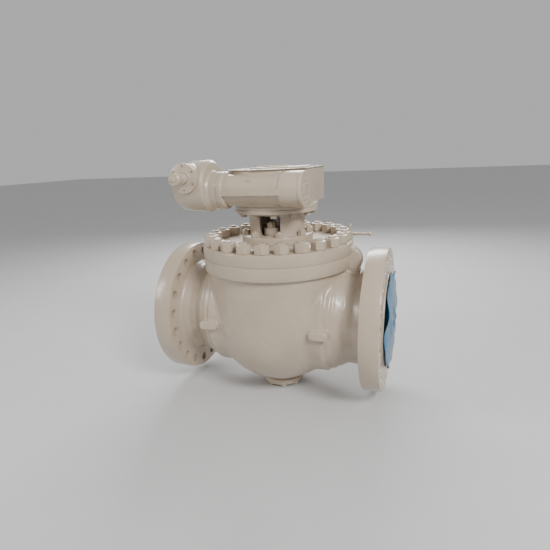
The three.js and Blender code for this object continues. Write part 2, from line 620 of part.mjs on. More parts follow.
function mainWorm() {
  const half = 50;
  const thread = wormThread(MAIN, -half, half, 16);
  const shaft = latheX([
    [WORM.left, 0], [WORM.left, WORM.shaftR], [-half + 1, WORM.shaftR],
    [-half + 1, 24], [half - 1, 24], [half - 1, WORM.shaftR], [WORM.right, WORM.shaftR], [WORM.right, 0],
  ], 16);
  return atWorm(geometryOf(join(thread, shaft)));
}

function wormBearing(middle) {
  const { halfWide } = WORM_BEARING;
  return atWorm(ringX(WORM.shaftR + RUN, WORM.tunnelR - GAP, middle - halfWide, middle + halfWide, 24));
}

function wormEndCap() {
  const seat = TUBE.right - 6 + GAP;
  return atWorm(latheX([
    [seat, 0], [seat, END_CAP.r - 4 - GAP],
    [TUBE.right + GAP, END_CAP.r - 4 - GAP], [TUBE.right + GAP, END_CAP.r],
    [END_CAP.to, END_CAP.r], [END_CAP.to, 0],
  ], 24));
}

function reducerHousing() {
  const { left, right, r, z, wall } = DRUM;
  const drum = latheX([
    [left, 0], [left, r - 20], [left + 12, r - 6], [left + 34, r], [right - 8, r], [right, r - 8], [right, 0],
  ], 32).translate(0, WORM.y, z);
  const neck = atWorm(rodX(DRUM.neckR, right - 2, TUBE_FLANGE.from - GAP, 32));
  const padFace = INPUT_COVER.face + INPUT_COVER.thick + GAP;
  const pad = rodY(INPUT_COVER.r - 2, padFace, WORM.y, 28).translate(INPUT.x, 0, INPUT.z);
  const rearBoss = rodY(REAR_BOSS.r, REAR_BOSS.from, REAR_BOSS.to, 24).translate(INPUT.x, 0, INPUT.z);
  const cavity = rodX(r - wall, left + wall, right - wall, 32).translate(0, WORM.y, z);
  const neckHole = atWorm(rodX(WORM.tunnelR, right - wall - 2, TUBE_FLANGE.from));
  const inputHole = rodY(INPUT_COVER.spigotR + 0.4, padFace - 2, WORM.y, 24).translate(INPUT.x, 0, INPUT.z);
  const rearPocket = rodY(INPUT.r + RUN, WORM.y, INPUT.back + 2, 24).translate(INPUT.x, 0, INPUT.z);
  return cut(join(drum, neck, pad, rearBoss), cavity, neckHole, inputHole, rearPocket);
}

function inputCover() {
  const { r, face, thick, spigotR, spigotLong } = INPUT_COVER;
  const back = face + thick;
  const disc = latheY([
    [back + spigotLong, INPUT.r + RUN], [back + spigotLong, spigotR], [back, spigotR], [back, r],
    [face, r], [face, INPUT.r + RUN], [back + spigotLong, INPUT.r + RUN],
  ], 24);
  return disc.translate(INPUT.x, 0, INPUT.z);
}

// Input shaft along Y with the primary worm cut on it.
function inputShaft() {
  const half = 22;
  const root = PRIMARY.wormPitchR - PRIMARY.deep;
  const thread = geometryOf(wormThread(PRIMARY, -half, half, 14));
  // Worm axis to -Y, its wheel side to -Z and the wheel's axis to +X.
  const turn = new THREE.Matrix4().set(0, 0, 1, INPUT.x, -1, 0, 0, WORM.y, 0, -1, 0, INPUT.z, 0, 0, 0, 1);
  const shaft = latheY([
    [INPUT.tip, 0], [INPUT.tip, INPUT.r - 4], [INPUT.tip + 3, INPUT.r - 1], [INPUT.tip + 34, INPUT.r - 1],
    [INPUT.tip + 34, INPUT.r], [WORM.y - half - 8, INPUT.r],
    [WORM.y - half + 1, root - 1], [WORM.y + half - 1, root - 1],
    [WORM.y + half + 8, INPUT.r], [INPUT.back, INPUT.r], [INPUT.back, 0],
  ], 24).translate(INPUT.x, 0, INPUT.z);
  return join(thread.applyMatrix4(turn), shaft);
}

function reducerWheel() {
  const disc = toothedDisc(PRIMARY, 9, 1, 0, 360, 0);
  const hub = rodZ(38, -18, 18, 24);
  const wheel = cut(join(disc, hub), rodZ(WORM.shaftR + GAP, -20, 20, 16));
  // The wheel's axis to +X and its worm side, -Y, to +Z.
  const turn = new THREE.Matrix4().set(0, 0, 1, INPUT.x, -1, 0, 0, WORM.y, 0, -1, 0, WORM.z, 0, 0, 0, 1);
  return geometryOf(wheel).applyMatrix4(turn);
}

// ---------------------------------------------------------------- trim
// A moulded end protector on the +X flange: a dished disc with a skirt inside the bore.
function endProtector() {
  const face = FACE_TO_FACE / 2 + GAP;
  const { r, dome, skin, skirtR, depth } = PROTECTOR;
  return latheX([
    [face + dome, 0], [face + dome - 2, 110], [face + 14, 205], [face + skin, r],
    [face, r], [face, skirtR], [face - depth, skirtR],
    [face - depth, skirtR - skin], [face + 8, skirtR - skin],
    [face + dome - skin - 2, 104], [face + dome - skin, 0],
  ], PIPE_SIDES);
}

function ventBody() {
  const bottom = BONNET.top + GAP;
  const post = rodZ(15, bottom, VENT.bodyTop, 6);
  const long = VENT.rodEnd - VENT.x;
  const spout = latheX([
    [0, 0], [0, VENT.rodR], [long - 14, VENT.rodR], [long - 13, VENT.rodR + 2],
    [long - 3, VENT.rodR + 2], [long, VENT.rodR - 1], [long, 0],
  ], 14).translate(0, 0, VENT.rodZ);
  const socket = rodZ(VENT_SPINDLE.r + 0.5, VENT.bodyTop - 14, VENT.bodyTop + 1, 12);
  return geometryOf(cut(join(post, spout), socket)).translate(VENT.x, VENT.y, 0);
}

function ventSpindle() {
  const { r, top, barR, barHalf } = VENT_SPINDLE;
  const spindle = rodZ(r, VENT.bodyTop - 12, top, 10);
  const bar = rodY(barR, -barHalf, barHalf, 8).translate(0, 0, top - 9);
  return geometryOf(join(spindle, bar)).translate(VENT.x, VENT.y, 0);
}

// ---------------------------------------------------------------- the assembly
const valve = new THREE.Group();
const aboutPipeAxis = new THREE.Group();
aboutPipeAxis.position.z = PIPE_HEIGHT;
valve.add(aboutPipeAxis);

function add(name, look, shape) {
  const mesh = new THREE.Mesh(geometryOf(asSolid(shape)), new THREE.MeshStandardMaterial(LOOKS[look]));
  mesh.name = name;
  aboutPipeAxis.add(mesh);
  return mesh;
}

add('valve_body', 'paint', valveBody());
add('bonnet', 'paint', bonnet());
add('bonnet_gasket', 'graphite', bonnetGasket());
add('bottom_cover', 'paint', bottomCover());
const studShape = bonnetStud();
for (let i = 0; i < STUDS.count; i += 1) {
  const stud = add(`bonnet_stud_${String(i + 1).padStart(2, '0')}`, 'paint', studShape);
  const angle = THREE.MathUtils.degToRad(STUDS.phase + 360 * i / STUDS.count);
  stud.position.set(STUDS.circleR * Math.cos(angle), STUDS.circleR * Math.sin(angle), 0);
  stud.rotation.z = angle;
}

add('ball', 'chrome', ball());
add('stem', 'steel', stem());
add('stem_bush', 'bronze', stemBush());
add('lower_trunnion', 'steel', lowerTrunnion());
add('trunnion_bush', 'bronze', trunnionBush());
for (const [side, turn] of [['right', 0], ['left', Math.PI]]) {
  add(`seat_ring_${side}`, 'steel', seatRing()).rotation.z = turn;
  add(`seat_insert_${side}`, 'polymer', seatInsert()).rotation.z = turn;
  add(`seat_spring_${side}`, 'steel', seatSpring()).rotation.z = turn;
  add(`end_protector_${side}`, 'blue', endProtector()).rotation.z = turn;
}

add('stem_packing', 'graphite', ringZ(STEM.r + RUN, PACKING.r - GAP, PACKING.from, PACKING.to, STEM_SIDES));
add('gland_flange', 'paint', glandFlange());
add('gland_stud_front', 'paint', glandStud()).position.y = -GLAND_STUD.y;
add('gland_stud_back', 'paint', glandStud()).position.y = GLAND_STUD.y;
add('bracket', 'paint', bracket());

add('gearbox_housing', 'paint', gearboxHousing());
add('gearbox_cover', 'paint', gearboxCover());
add('position_indicator', 'paint', positionIndicator());
add('worm_quadrant', 'bronze', wormQuadrant());
add('main_worm', 'steel', mainWorm());
add('worm_bearing_left', 'steel', wormBearing(WORM_BEARING.left));
add('worm_bearing_right', 'steel', wormBearing(WORM_BEARING.right));
add('worm_end_cap', 'paint', wormEndCap());
add('reducer_housing', 'paint', reducerHousing());
add('reducer_wheel', 'bronze', reducerWheel());
add('input_cover', 'paint', inputCover());
add('input_shaft', 'steel', inputShaft());

add('vent_body', 'paint', ventBody());
add('vent_spindle', 'steel', ventSpindle());

export default valve;
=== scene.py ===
"""Looks of a top-entry, quarter-turn pipeline valve with a double worm gear operator.

Shapes are written in millimetres about the pipe axis, with Z along the stem and X along the
pipe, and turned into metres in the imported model's frame when a piece is made.
"""
import json
import math
import random

import bpy
import numpy as np
from mathutils import Matrix, Vector


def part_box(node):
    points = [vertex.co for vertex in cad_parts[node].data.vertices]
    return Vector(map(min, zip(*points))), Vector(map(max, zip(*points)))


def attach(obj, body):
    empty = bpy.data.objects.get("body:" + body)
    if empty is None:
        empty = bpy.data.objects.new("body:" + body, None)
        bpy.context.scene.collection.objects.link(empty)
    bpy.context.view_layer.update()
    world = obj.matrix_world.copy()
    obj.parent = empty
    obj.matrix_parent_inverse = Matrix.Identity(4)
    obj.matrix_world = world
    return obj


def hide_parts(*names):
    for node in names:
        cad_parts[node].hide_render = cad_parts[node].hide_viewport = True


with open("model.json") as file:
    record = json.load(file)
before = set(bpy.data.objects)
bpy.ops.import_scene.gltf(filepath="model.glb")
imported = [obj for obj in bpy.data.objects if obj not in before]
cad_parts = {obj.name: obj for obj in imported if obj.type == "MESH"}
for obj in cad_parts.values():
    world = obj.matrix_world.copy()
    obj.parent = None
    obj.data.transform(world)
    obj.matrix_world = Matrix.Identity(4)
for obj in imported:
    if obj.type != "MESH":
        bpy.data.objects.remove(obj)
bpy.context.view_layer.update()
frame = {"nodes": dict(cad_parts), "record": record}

# ---------------- places, from the frame
MM = 0.001
PIPE_HEIGHT = sum(corner.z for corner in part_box("end_protector_right")) / 2 / MM


def span(node):
    """Lowest and highest corner of a CAD node, in millimetres about the pipe axis."""
    lift = Vector((0, 0, PIPE_HEIGHT))
    return [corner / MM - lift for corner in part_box(node)]


BODY_HIGH = span("valve_body")[1]
BONNET_LOW, BONNET_HIGH = span("bonnet")
BRACKET_LOW, BRACKET_HIGH = span("bracket")
FACE_X = BODY_HIGH.x
TOP_R = BODY_HIGH.y
BONNET_TOP = BONNET_HIGH.z
STUD_TOP = span("bonnet_stud_01")[1].z
CASE_BASE, CASE_TOP = [corner.z for corner in span("gearbox_housing")]
LID_TOP = span("gearbox_cover")[1].z
DRUM_LEFT = span("reducer_housing")[0].x
CAP_LOW, CAP_HIGH = span("worm_end_cap")
SHAFT_LOW, SHAFT_HIGH = span("input_shaft")
COVER_LOW, COVER_HIGH = span("input_cover")
VENT_LOW, VENT_HIGH = span("vent_body")

# ---------------- sizes, in millimetres
BORE_R = 186.5
FLANGE = {
    "r": 352.5, "back": 469.7, "rim": 558.6, "face_r": 235,
    "circle_r": 308, "holes": 20, "hole_r": 22.25, "hole_chamfer": 2.4,
}
BOWL_R = 358
TRUNK_TOP = 290
TOP_Z = 326.5  # where the bonnet stands on the body
TOP_FLANGE_BOTTOM = 263
BOTTOM_BOSS_R = 104
BOTTOM_BOSS_Z = -360
CAVITY_R = 300
SEAT_POCKET = {"r": 226, "x": 292}
TRUNNION_WELL_R = 79

# The run from bowl to end flange: its radius at each distance from the stem.
RUN_X = [0, 288, 297, 322, 331, 348, 386, 424, 480]
RUN_R = [284, 284, 271, 268, 258, 254, 234, 234, 257]

# The rough flanges of the casting, a little inside the machined ones made over them.
ROUGH = {"inset": 4, "end_middle": 16, "end_half": 15, "rim_middle": 26, "rim_half": 25}
FILLET = {"run": 13, "end": 14, "rim": 11, "ear": 10, "boss": 8, "neck": 16}

# A lifting ear is a disc about (x, z) with a block under it, and a boss stands over each seat.
EAR = {"x": 367, "z": 297, "r": 67, "half": 30, "foot_x": (300, 424), "foot_z": (220, 270)}
BOSS = {"x": 281, "z": 0, "half_x": 46, "half_z": 21, "face": -308, "root": -180, "round": 18}

STUDS = {"count": 24, "circle_r": 338, "r": 21, "phase": 7.5, "nut_af": 65, "nut_high": 42}
COVER_BOLTS = {"count": 8, "circle_r": 92, "af": 27, "high": 14}
BALL = {"r": 280, "flat": 255, "neck_r": 72, "socket_r": 69.2}
STUFFING_BOX_R = 72

# The worm lies along X at (WORM_Y, WORM_Z) in a tube that widens on the right.
WORM_Y, WORM_Z = -200, 655
TUBE = {
    "r": 72, "big_r": 80.5, "big_from": 109, "joint": 193, "right": 207,
    "flange_r": 87, "flange": (-194, -168), "bore_r": 52,
}
CASE = {"wall_r": 226, "right": 200, "front": -150, "back": 200, "floor": 578, "base_r": 208}
LID = {"r": 236, "overhang": 6, "pad_x": (-92, 170), "pad_y": 116}
WINDOW = {"azimuth": -86, "half": 51.7, "from": 426, "to": 524, "corner": 14}

rng = random.Random(16)


# ---------------- shapes: (points, faces)
def flipped_outward(points, faces):
    """Turns the faces round if the closed surface encloses a negative volume."""
    volume = 0.0
    for face in faces:
        a = points[face[0]]
        for i in range(1, len(face) - 1):
            volume += float(np.dot(a, np.cross(points[face[i]], points[face[i + 1]])))
    return (points, faces) if volume > 0 else (points, [list(reversed(face)) for face in faces])


def rounded(corners, steps=4, closed=False):
    """An outline of (u, v, radius) corners, the radius left out where the corner stays sharp."""
    outline = []
    count = len(corners)
    for i, (u, v, *radius) in enumerate(corners):
        here = Vector((u, v))
        at_end = not closed and i in (0, count - 1)
        if not radius or at_end:
            outline.append((u, v))
            continue
        one = (Vector(corners[i - 1][:2]) - here).normalized()
        two = (Vector(corners[(i + 1) % count][:2]) - here).normalized()
        half = one.angle(two) / 2
        centre = here + (one + two).normalized() * radius[0] / math.sin(half)
        start = here + one * radius[0] / math.tan(half) - centre
        end = here + two * radius[0] / math.tan(half) - centre
        turn = start.angle_signed(end)
        for k in range(steps + 1):
            point = centre + Matrix.Rotation(-turn * k / steps, 2) @ start
            outline.append((point.x, point.y))
    return outline


def lathe(outline, axis="z", sides=96):
    """A solid turned about an axis through the origin, from (along, radius) points.

    The outline starts and ends on the axis, or is a closed loop clear of it.
    """
    points, rings, faces = [], [], []
    turns = [2 * math.pi * i / sides for i in range(sides)]
    for along, radius in outline:
        start = len(points)
        on_axis = radius < 1e-6
        for turn in turns[:1] if on_axis else turns:
            u, v = radius * math.cos(turn), radius * math.sin(turn)
            points.append({"x": (along, u, v), "y": (v, along, u), "z": (u, v, along)}[axis])
        rings.append([start] * sides if on_axis else list(range(start, start + sides)))
    loop = outline[0][1] >= 1e-6
    pairs = list(zip(rings, rings[1:])) + ([(rings[-1], rings[0])] if loop else [])
    for low, high in pairs:
        for i in range(sides):
            j = (i + 1) % sides
            corners = [low[i], low[j], high[j], high[i]]
            face = [c for k, c in enumerate(corners) if c != corners[k - 1]]
            if len(face) > 2:
                faces.append(face)
    return flipped_outward(np.array(points, float), faces)


def prism(outline, low, high, edge=0.0, steps=3):
    """An outline in the XY plane raised from low to high, its rims rounded by edge."""
    flat = np.array(outline, float)
    sides = np.roll(flat, -1, axis=0) - flat
    sides /= np.linalg.norm(sides, axis=1)[:, None]
    out = np.stack([sides[:, 1], -sides[:, 0]], axis=1)
    mean = out + np.roll(out, 1, axis=0)
    mean /= (mean * out).sum(axis=1)[:, None]
    if np.cross(flat - flat.mean(axis=0), sides).sum() < 0:
        mean = -mean
    levels = [(low, 0)]
    if edge:
        curve = [k * math.pi / 2 / steps for k in range(steps + 1)]
        levels = [(low + edge * (1 - math.cos(a)), edge * (1 - math.sin(a))) for a in curve]
    levels += [(high + low - z, inset) for z, inset in reversed(levels)]
    count = len(flat)
    points = [np.column_stack([flat - mean * inset, np.full(count, z)]) for z, inset in levels]
    faces = [list(range(count)), [count * (len(levels) - 1) + i for i in reversed(range(count))]]
    for level in range(len(levels) - 1):
        a, b = level * count, (level + 1) * count
        faces += [[a + (i + 1) % count, a + i, b + i, b + (i + 1) % count] for i in range(count)]
    return flipped_outward(np.vstack(points), faces)


def moved(shape, x=0, y=0, z=0, turn=0.0, axis="Z"):
    """A shape turned about an axis through the origin, in degrees, and then shifted."""
    matrix = np.array(Matrix.Rotation(math.radians(turn), 3, axis))
    return shape[0] @ matrix.T + np.array([x, y, z]), shape[1]


def stack(shapes):
    """Several shapes as one, each staying its own closed solid."""
    points, faces, start = [], [], 0
    for own_points, own_faces in shapes:
        points.append(own_points)
        faces += [[start + c for c in face] for face in own_faces]
        start += len(own_points)
    return np.vstack(points), faces


def ring_of(shape, count, axis="Z", phase=0.0):
    """Copies of a shape, evenly turned about an axis through the origin."""
    return stack([moved(shape, turn=phase + 360 * i / count, axis=axis) for i in range(count)])


def loose_object(shape):
    """A scene object made for a boolean and removed after it."""
    mesh = bpy.data.meshes.new("tool")
    mesh.from_pydata(shape[0].tolist(), [], shape[1])
    tool = bpy.data.objects.new("tool", mesh)
    bpy.context.scene.collection.objects.link(tool)
    return tool


def carve(shape, add=(), cut=(), keep=()):
    """The shape with other closed shapes joined to it, cut from it or kept in common with it."""
    stock = loose_object(shape)
    tools = []
    for operation, others in (("UNION", add), ("DIFFERENCE", cut), ("INTERSECT", keep)):
        for other in others:
            tools.append(loose_object(other))
            modifier = stock.modifiers.new("carve", "BOOLEAN")
            modifier.operation = operation
            modifier.solver = "MANIFOLD"
            modifier.object = tools[-1]
    bpy.context.view_layer.update()
    made = bpy.data.meshes.new_from_object(stock.evaluated_get(bpy.context.evaluated_depsgraph_get()))
    points = np.zeros(len(made.vertices) * 3)
    made.vertices.foreach_get("co", points)
    faces = [list(polygon.vertices) for polygon in made.polygons]
    if not faces:
        raise RuntimeError("a boolean left nothing behind")
    for thing in [stock, *tools]:
        mesh = thing.data
        bpy.data.objects.remove(thing)
        bpy.data.meshes.remove(mesh)
    bpy.data.meshes.remove(made)
    return points.reshape(-1, 3), faces


# ---------------- cast shapes, from distance fields
def filleted(a, b, radius):
    """Union of two distance fields with a fillet."""
    corner = np.hypot(np.maximum(radius - a, 0), np.maximum(radius - b, 0))
    return np.maximum(radius, np.minimum(a, b)) - corner


def trimmed(a, b, radius):
    """Intersection of two distance fields with a rounded edge."""
    corner = np.hypot(np.maximum(radius + a, 0), np.maximum(radius + b, 0))
    return np.minimum(-radius, np.maximum(a, b)) + corner


def unevenness(x, y, z, wavelength, height):
    """A gentle swell over a casting, from a few crossed waves."""
    k = 2 * math.pi / wavelength
    swell = np.sin(k * (x + 0.37 * z) + 1.1) * np.sin(k * (0.83 * y - 0.2 * x) + 0.4)
    swell = swell + np.sin(1.7 * k * (z - 0.3 * y) + 2.3) * np.sin(1.3 * k * (x + 0.5 * y) + 4.0)
    return height / 2 * swell


def surface(field, low, high, step):
    """The zero surface of field(x, y, z) as quads, by surface nets drawn on to the field."""
    axes = [np.arange(a, b + step, step, dtype=np.float32) for a, b in zip(low, high)]
    value = field(*np.meshgrid(*axes, indexing="ij")).astype(np.float32)
    inside = value < 0
    shape = tuple(n - 1 for n in value.shape)
    corners = [(i, j, k) for i in (0, 1) for j in (0, 1) for k in (0, 1)]

    def part(array, corner):
        return array[tuple(slice(c, c + n) for c, n in zip(corner, shape))]

    filled = sum(part(inside, corner).astype(np.int8) for corner in corners)
    cells = np.argwhere((filled > 0) & (filled < 8))
    total = np.zeros((len(cells), 3))
    crossings = np.zeros(len(cells))
    for one in corners:
        for axis in range(3):
            if one[axis]:
                continue
            two = tuple(c + (k == axis) for k, c in enumerate(one))
            a = value[tuple((cells + one).T)]
            b = value[tuple((cells + two).T)]
            crossed = (a < 0) != (b < 0)
            share = np.where(crossed, a / np.where(crossed, a - b, 1), 0)
            place = np.array(one, float) + share[:, None] * np.eye(3)[axis]
            total += place * crossed[:, None]
            crossings += crossed
    points = np.array([a[0] for a in axes]) + step * (cells + total / crossings[:, None])
    number = np.full(shape, -1, np.int64)
    number[tuple(cells.T)] = np.arange(len(cells))
    quads = []
    for axis in range(3):
        ahead = np.roll(inside, -1, axis=axis)
        edge = inside != ahead
        edge[tuple(slice(-1, None) if k == axis else slice(None) for k in range(3))] = False
        starts = np.argwhere(edge)
        u, v = [np.eye(3, dtype=int)[k] for k in range(3) if k != axis]
        around = [starts - u - v, starts - v, starts, starts - u]
        quad = np.stack([number[tuple(c.T)] for c in around], axis=1)
        backward = inside[tuple(starts.T)] == (axis == 1)
        quad[backward] = quad[backward][:, ::-1]
        quads.append(quad)
    quads = np.vstack(quads)
    for _ in range(2):
        points = relaxed(points, quads)
        for _ in range(3):
            points = drawn_on(points, field)
    return points, quads.tolist()


def relaxed(points, quads):
    """Each point moved half way to the mean of its neighbours."""
    total = np.zeros_like(points)
    count = np.zeros(len(points))
    for k in range(4):
        np.add.at(total, quads[:, k], points[quads[:, (k + 1) % 4]])
        np.add.at(count, quads[:, k], 1)
    return 0.5 * points + 0.5 * total / count[:, None]


def drawn_on(points, field, reach=0.4):
    """Points moved along the field's slope to where the field is zero."""
    value = field(*points.T)
    rises = []
    for step in np.eye(3):
        rises.append((field(*(points + reach * step).T) - field(*(points - reach * step).T)) / (2 * reach))
    slope = np.stack(rises, axis=1)
    shift = slope * (value / np.maximum((slope ** 2).sum(axis=1), 0.2))[:, None]
    length = np.maximum(np.linalg.norm(shift, axis=1), 1e-9)
    return points - shift * np.minimum(1, 2 / length)[:, None]


# ---------------- materials
def node_tree(name):
    material = bpy.data.materials.new(name)
    material.use_nodes = True
    nodes = material.node_tree.nodes
    shader = nodes["Principled BSDF"]
    place = nodes.new("ShaderNodeTexCoord").outputs["Object"]
    return material, material.node_tree, shader, place


def noise(tree, place, scale, detail=3.0, roughness=0.5):
    node = tree.nodes.new("ShaderNodeTexNoise")
    node.inputs["Scale"].default_value = scale
    node.inputs["Detail"].default_value = detail
    node.inputs["Roughness"].default_value = roughness
    tree.links.new(place, node.inputs["Vector"])
    return node.outputs["Fac"]


def ramp(tree, factor, stops):
    node = tree.nodes.new("ShaderNodeValToRGB")
    ends = node.color_ramp.elements
    ends[0].position, ends[0].color = stops[0][0], (*stops[0][1], 1)
    ends[1].position, ends[1].color = stops[-1][0], (*stops[-1][1], 1)
    for position, colour in stops[1:-1]:
        ends.new(position).color = (*colour, 1)
    tree.links.new(factor, node.inputs["Fac"])
    return node.outputs["Color"]


def mixed(tree, one, two, factor):
    node = tree.nodes.new("ShaderNodeMix")
    node.data_type = "RGBA"
    for socket, value in ((node.inputs[6], one), (node.inputs[7], two), (node.inputs[0], factor)):
        if hasattr(value, "links"):
            tree.links.new(value, socket)
        else:
            socket.default_value = (*value, 1) if isinstance(value, tuple) else value
    return node.outputs[2]


def spread(tree, factor, low, high, start=0.3, end=0.7):
    node = tree.nodes.new("ShaderNodeMapRange")
    node.inputs["From Min"].default_value = start
    node.inputs["From Max"].default_value = end
    node.inputs["To Min"].default_value = low
    node.inputs["To Max"].default_value = high
    tree.links.new(factor, node.inputs["Value"])
    return node.outputs["Result"]


def bumps(tree, shader, layers):
    """Bump nodes in a chain: (height, distance in metres, strength)."""
    normal = None
    for height, distance, strength in layers:
        node = tree.nodes.new("ShaderNodeBump")
        node.inputs["Distance"].default_value = distance
        node.inputs["Strength"].default_value = strength
        tree.links.new(height, node.inputs["Height"])
        if normal:
            tree.links.new(normal, node.inputs["Normal"])
        normal = node.outputs["Normal"]
    tree.links.new(normal, shader.inputs["Normal"])


def paint(name, casting):
    """Semi-gloss grey-beige valve paint; casting is how rough the metal under it is, 0 to 1."""
    material, tree, shader, place = node_tree(name)
    drift = noise(tree, place, 5.0, 2.0)
    mottle = noise(tree, place, 38.0, 5.0, 0.6)
    colour = ramp(tree, drift, [(0.3, PAINT_SHADE), (0.55, PAINT), (0.75, PAINT_LIGHT)])
    dulled = mixed(tree, colour, PAINT_DUST, spread(tree, mottle, 0.0, 0.22, 0.52, 0.75))
    tree.links.new(dulled, shader.inputs["Base Color"])
    tree.links.new(spread(tree, mottle, 0.27, 0.42), shader.inputs["Roughness"])
    shader.inputs["Specular IOR Level"].default_value = 0.55
    shader.inputs["Coat Weight"].default_value = 0.35
    shader.inputs["Coat Roughness"].default_value = 0.16
    peel = noise(tree, place, 420.0, 2.0)
    layers = [(peel, 0.0004, 0.12 + 0.1 * casting)]
    if casting:
        pits = noise(tree, place, 130.0, 4.0, 0.65)
        swell = noise(tree, place, 22.0, 2.0)
        layers += [(pits, 0.0012, 0.28 * casting), (swell, 0.004, 0.3 * casting)]
    bumps(tree, shader, layers)
    return material


def metal(name, colour, roughness, turning=0.0):
    """Bare metal with a fine turned or polished grain."""
    material, tree, shader, place = node_tree(name)
    cloud = noise(tree, place, 30.0, 4.0)
    dark = tuple(0.82 * c for c in colour)
    tree.links.new(ramp(tree, cloud, [(0.35, dark), (0.65, colour)]), shader.inputs["Base Color"])
    shader.inputs["Metallic"].default_value = 1.0
    tree.links.new(spread(tree, cloud, roughness * 0.8, roughness * 1.3), shader.inputs["Roughness"])
    bumps(tree, shader, [(noise(tree, place, 600.0, 3.0), 0.0002, 0.05 + turning)])
    return material


def polymer(name, colour, roughness, wrinkle=0.0):
    """Moulded plastic or pressed graphite, with slight marbling."""
    material, tree, shader, place = node_tree(name)
    cloud = noise(tree, place, 12.0, 5.0, 0.6)
    dark = tuple(0.6 * c for c in colour)
    tree.links.new(ramp(tree, cloud, [(0.3, dark), (0.6, colour)]), shader.inputs["Base Color"])
    tree.links.new(spread(tree, cloud, roughness * 0.85, roughness * 1.2), shader.inputs["Roughness"])
    waves = noise(tree, place, 25.0, 3.0)
    grain = noise(tree, place, 500.0)
    bumps(tree, shader, [(waves, 0.004, wrinkle), (grain, 0.0002, 0.1)])
    return material


PAINT = (0.455, 0.37, 0.28)
PAINT_SHADE = (0.42, 0.342, 0.256)
PAINT_LIGHT = (0.485, 0.4, 0.308)
PAINT_DUST = (0.38, 0.325, 0.25)
CAST_PAINT = paint("paint_on_casting", 1.0)
SMOOTH_PAINT = paint("paint_on_machined", 0.0)
GEAR_PAINT = paint("paint_on_gear_case", 0.45)
BARE_STEEL = metal("bare_steel", (0.56, 0.56, 0.57), 0.3, 0.08)
CHROME = metal("polished_ball", (0.8, 0.81, 0.82), 0.1)
BRONZE = metal("bronze", (0.6, 0.4, 0.17), 0.34, 0.1)
GRAPHITE = polymer("graphite", (0.035, 0.035, 0.04), 0.6)
SEAT_POLYMER = polymer("seat_polymer", (0.68, 0.63, 0.5), 0.45)
BLUE_PLASTIC = polymer("blue_plastic", (0.02, 0.14, 0.27), 0.3, 0.35)
SLOT_LOOKS = {
    "paint": SMOOTH_PAINT, "bare_steel": BARE_STEEL, "chrome_plate": CHROME, "bronze": BRONZE,
    "graphite": GRAPHITE, "polymer": SEAT_POLYMER, "blue_plastic": BLUE_PLASTIC,
}
SMOOTH_ANGLE = math.radians(36)


def piece(name, shape, material, body="valve", replaces=()):
    """Makes an object of the frame: in metres, smooth where its faces meet gently."""
    points, faces = shape
    mesh = bpy.data.meshes.new(name)
    mesh.from_pydata(((points + np.array([0, 0, PIPE_HEIGHT])) * MM).tolist(), [], faces)
    mesh.materials.append(material)
    mesh.polygons.foreach_set("use_smooth", [True] * len(mesh.polygons))
    mesh.set_sharp_from_angle(angle=SMOOTH_ANGLE)
    thing = bpy.data.objects.new(name, mesh)
    bpy.context.scene.collection.objects.link(thing)
    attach(thing, body)
    if replaces:
        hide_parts(*replaces)


# ---------------- fasteners
def hexagon(across_flats, low, high, chamfer):
    """A hexagon standing along Z, its corners turned off to a cone at both ends."""
    corner_r = across_flats / math.sqrt(3)
    turns = [math.pi / 3 * i for i in range(6)]
    outline = [(corner_r * math.cos(a), corner_r * math.sin(a)) for a in turns]
    drop = chamfer * across_flats
    reach = across_flats / 2 * 0.97
    wide = reach + drop * 1.75
    cone = lathe([
        (low, 0), (low, reach), (low + drop, wide),
        (high - drop, wide), (high, reach), (high, 0),
    ], sides=48)
    return carve(prism(outline, low, high), keep=[cone])


def threaded_end(radius, low, high, pitch):
    """A rod whose upper end shows thread crests and a chamfered tip."""
    outline = [(low, 0), (low, radius)]
    z = high - pitch * 4
    while z < high - pitch:
        outline += [(z, radius), (z + pitch / 2, radius * 0.93)]
        z += pitch
    return lathe([*outline, (high - pitch * 0.6, radius * 0.97), (high, radius * 0.86), (high, 0)], sides=40)


def socket_screw(radius, low, high):
    """A cap screw standing along Z, with a recess in its head."""
    recess = 0.5 * (high - low)
    return lathe([
        (low, 0), (low, radius), (high - 0.15 * radius, radius), (high, radius * 0.86),
        (high, radius * 0.5), (high - recess, radius * 0.5), (high - recess, 0),
    ], sides=20)


# ---------------- pressure shell
def body_field(x, y, z):
    """The casting: a bowl under an upright drum, two runs, flanges, ears and bosses."""
    about_stem = np.hypot(x, y)
    about_pipe = np.hypot(y, z)
    along = np.abs(x)
    trunk = np.where(z > 0, about_stem, np.sqrt(x * x + y * y + z * z)) - BOWL_R
    trunk = trimmed(trunk, z - TRUNK_TOP, 2)
    run = np.maximum((about_pipe - np.interp(along, SOFT_RUN_X, SOFT_RUN_R)) * 0.93, along - RUN_X[-1])
    shell = filleted(trunk, run, FILLET["run"])
    end_thick = np.abs(along - FLANGE["back"] - ROUGH["end_middle"]) - ROUGH["end_half"]
    end = trimmed(about_pipe - FLANGE["r"] + ROUGH["inset"], end_thick, 1)
    shell = filleted(shell, end, FILLET["end"])
    rim_thick = np.abs(z - TOP_FLANGE_BOTTOM - ROUGH["rim_middle"]) - ROUGH["rim_half"]
    rim = trimmed(about_stem - TOP_R + ROUGH["inset"], rim_thick, 1)
    shell = filleted(shell, rim, FILLET["rim"])
    shell = filleted(shell, ear_field(along, y, z), FILLET["ear"])
    shell = filleted(shell, boss_field(along, y, z), FILLET["boss"])
    neck = trimmed(about_stem - BOTTOM_BOSS_R + 1.5, np.abs(z + 300) - 56, 2)
    shell = filleted(shell, neck, FILLET["neck"])
    return shell + unevenness(x, y, z, 95, 0.9)


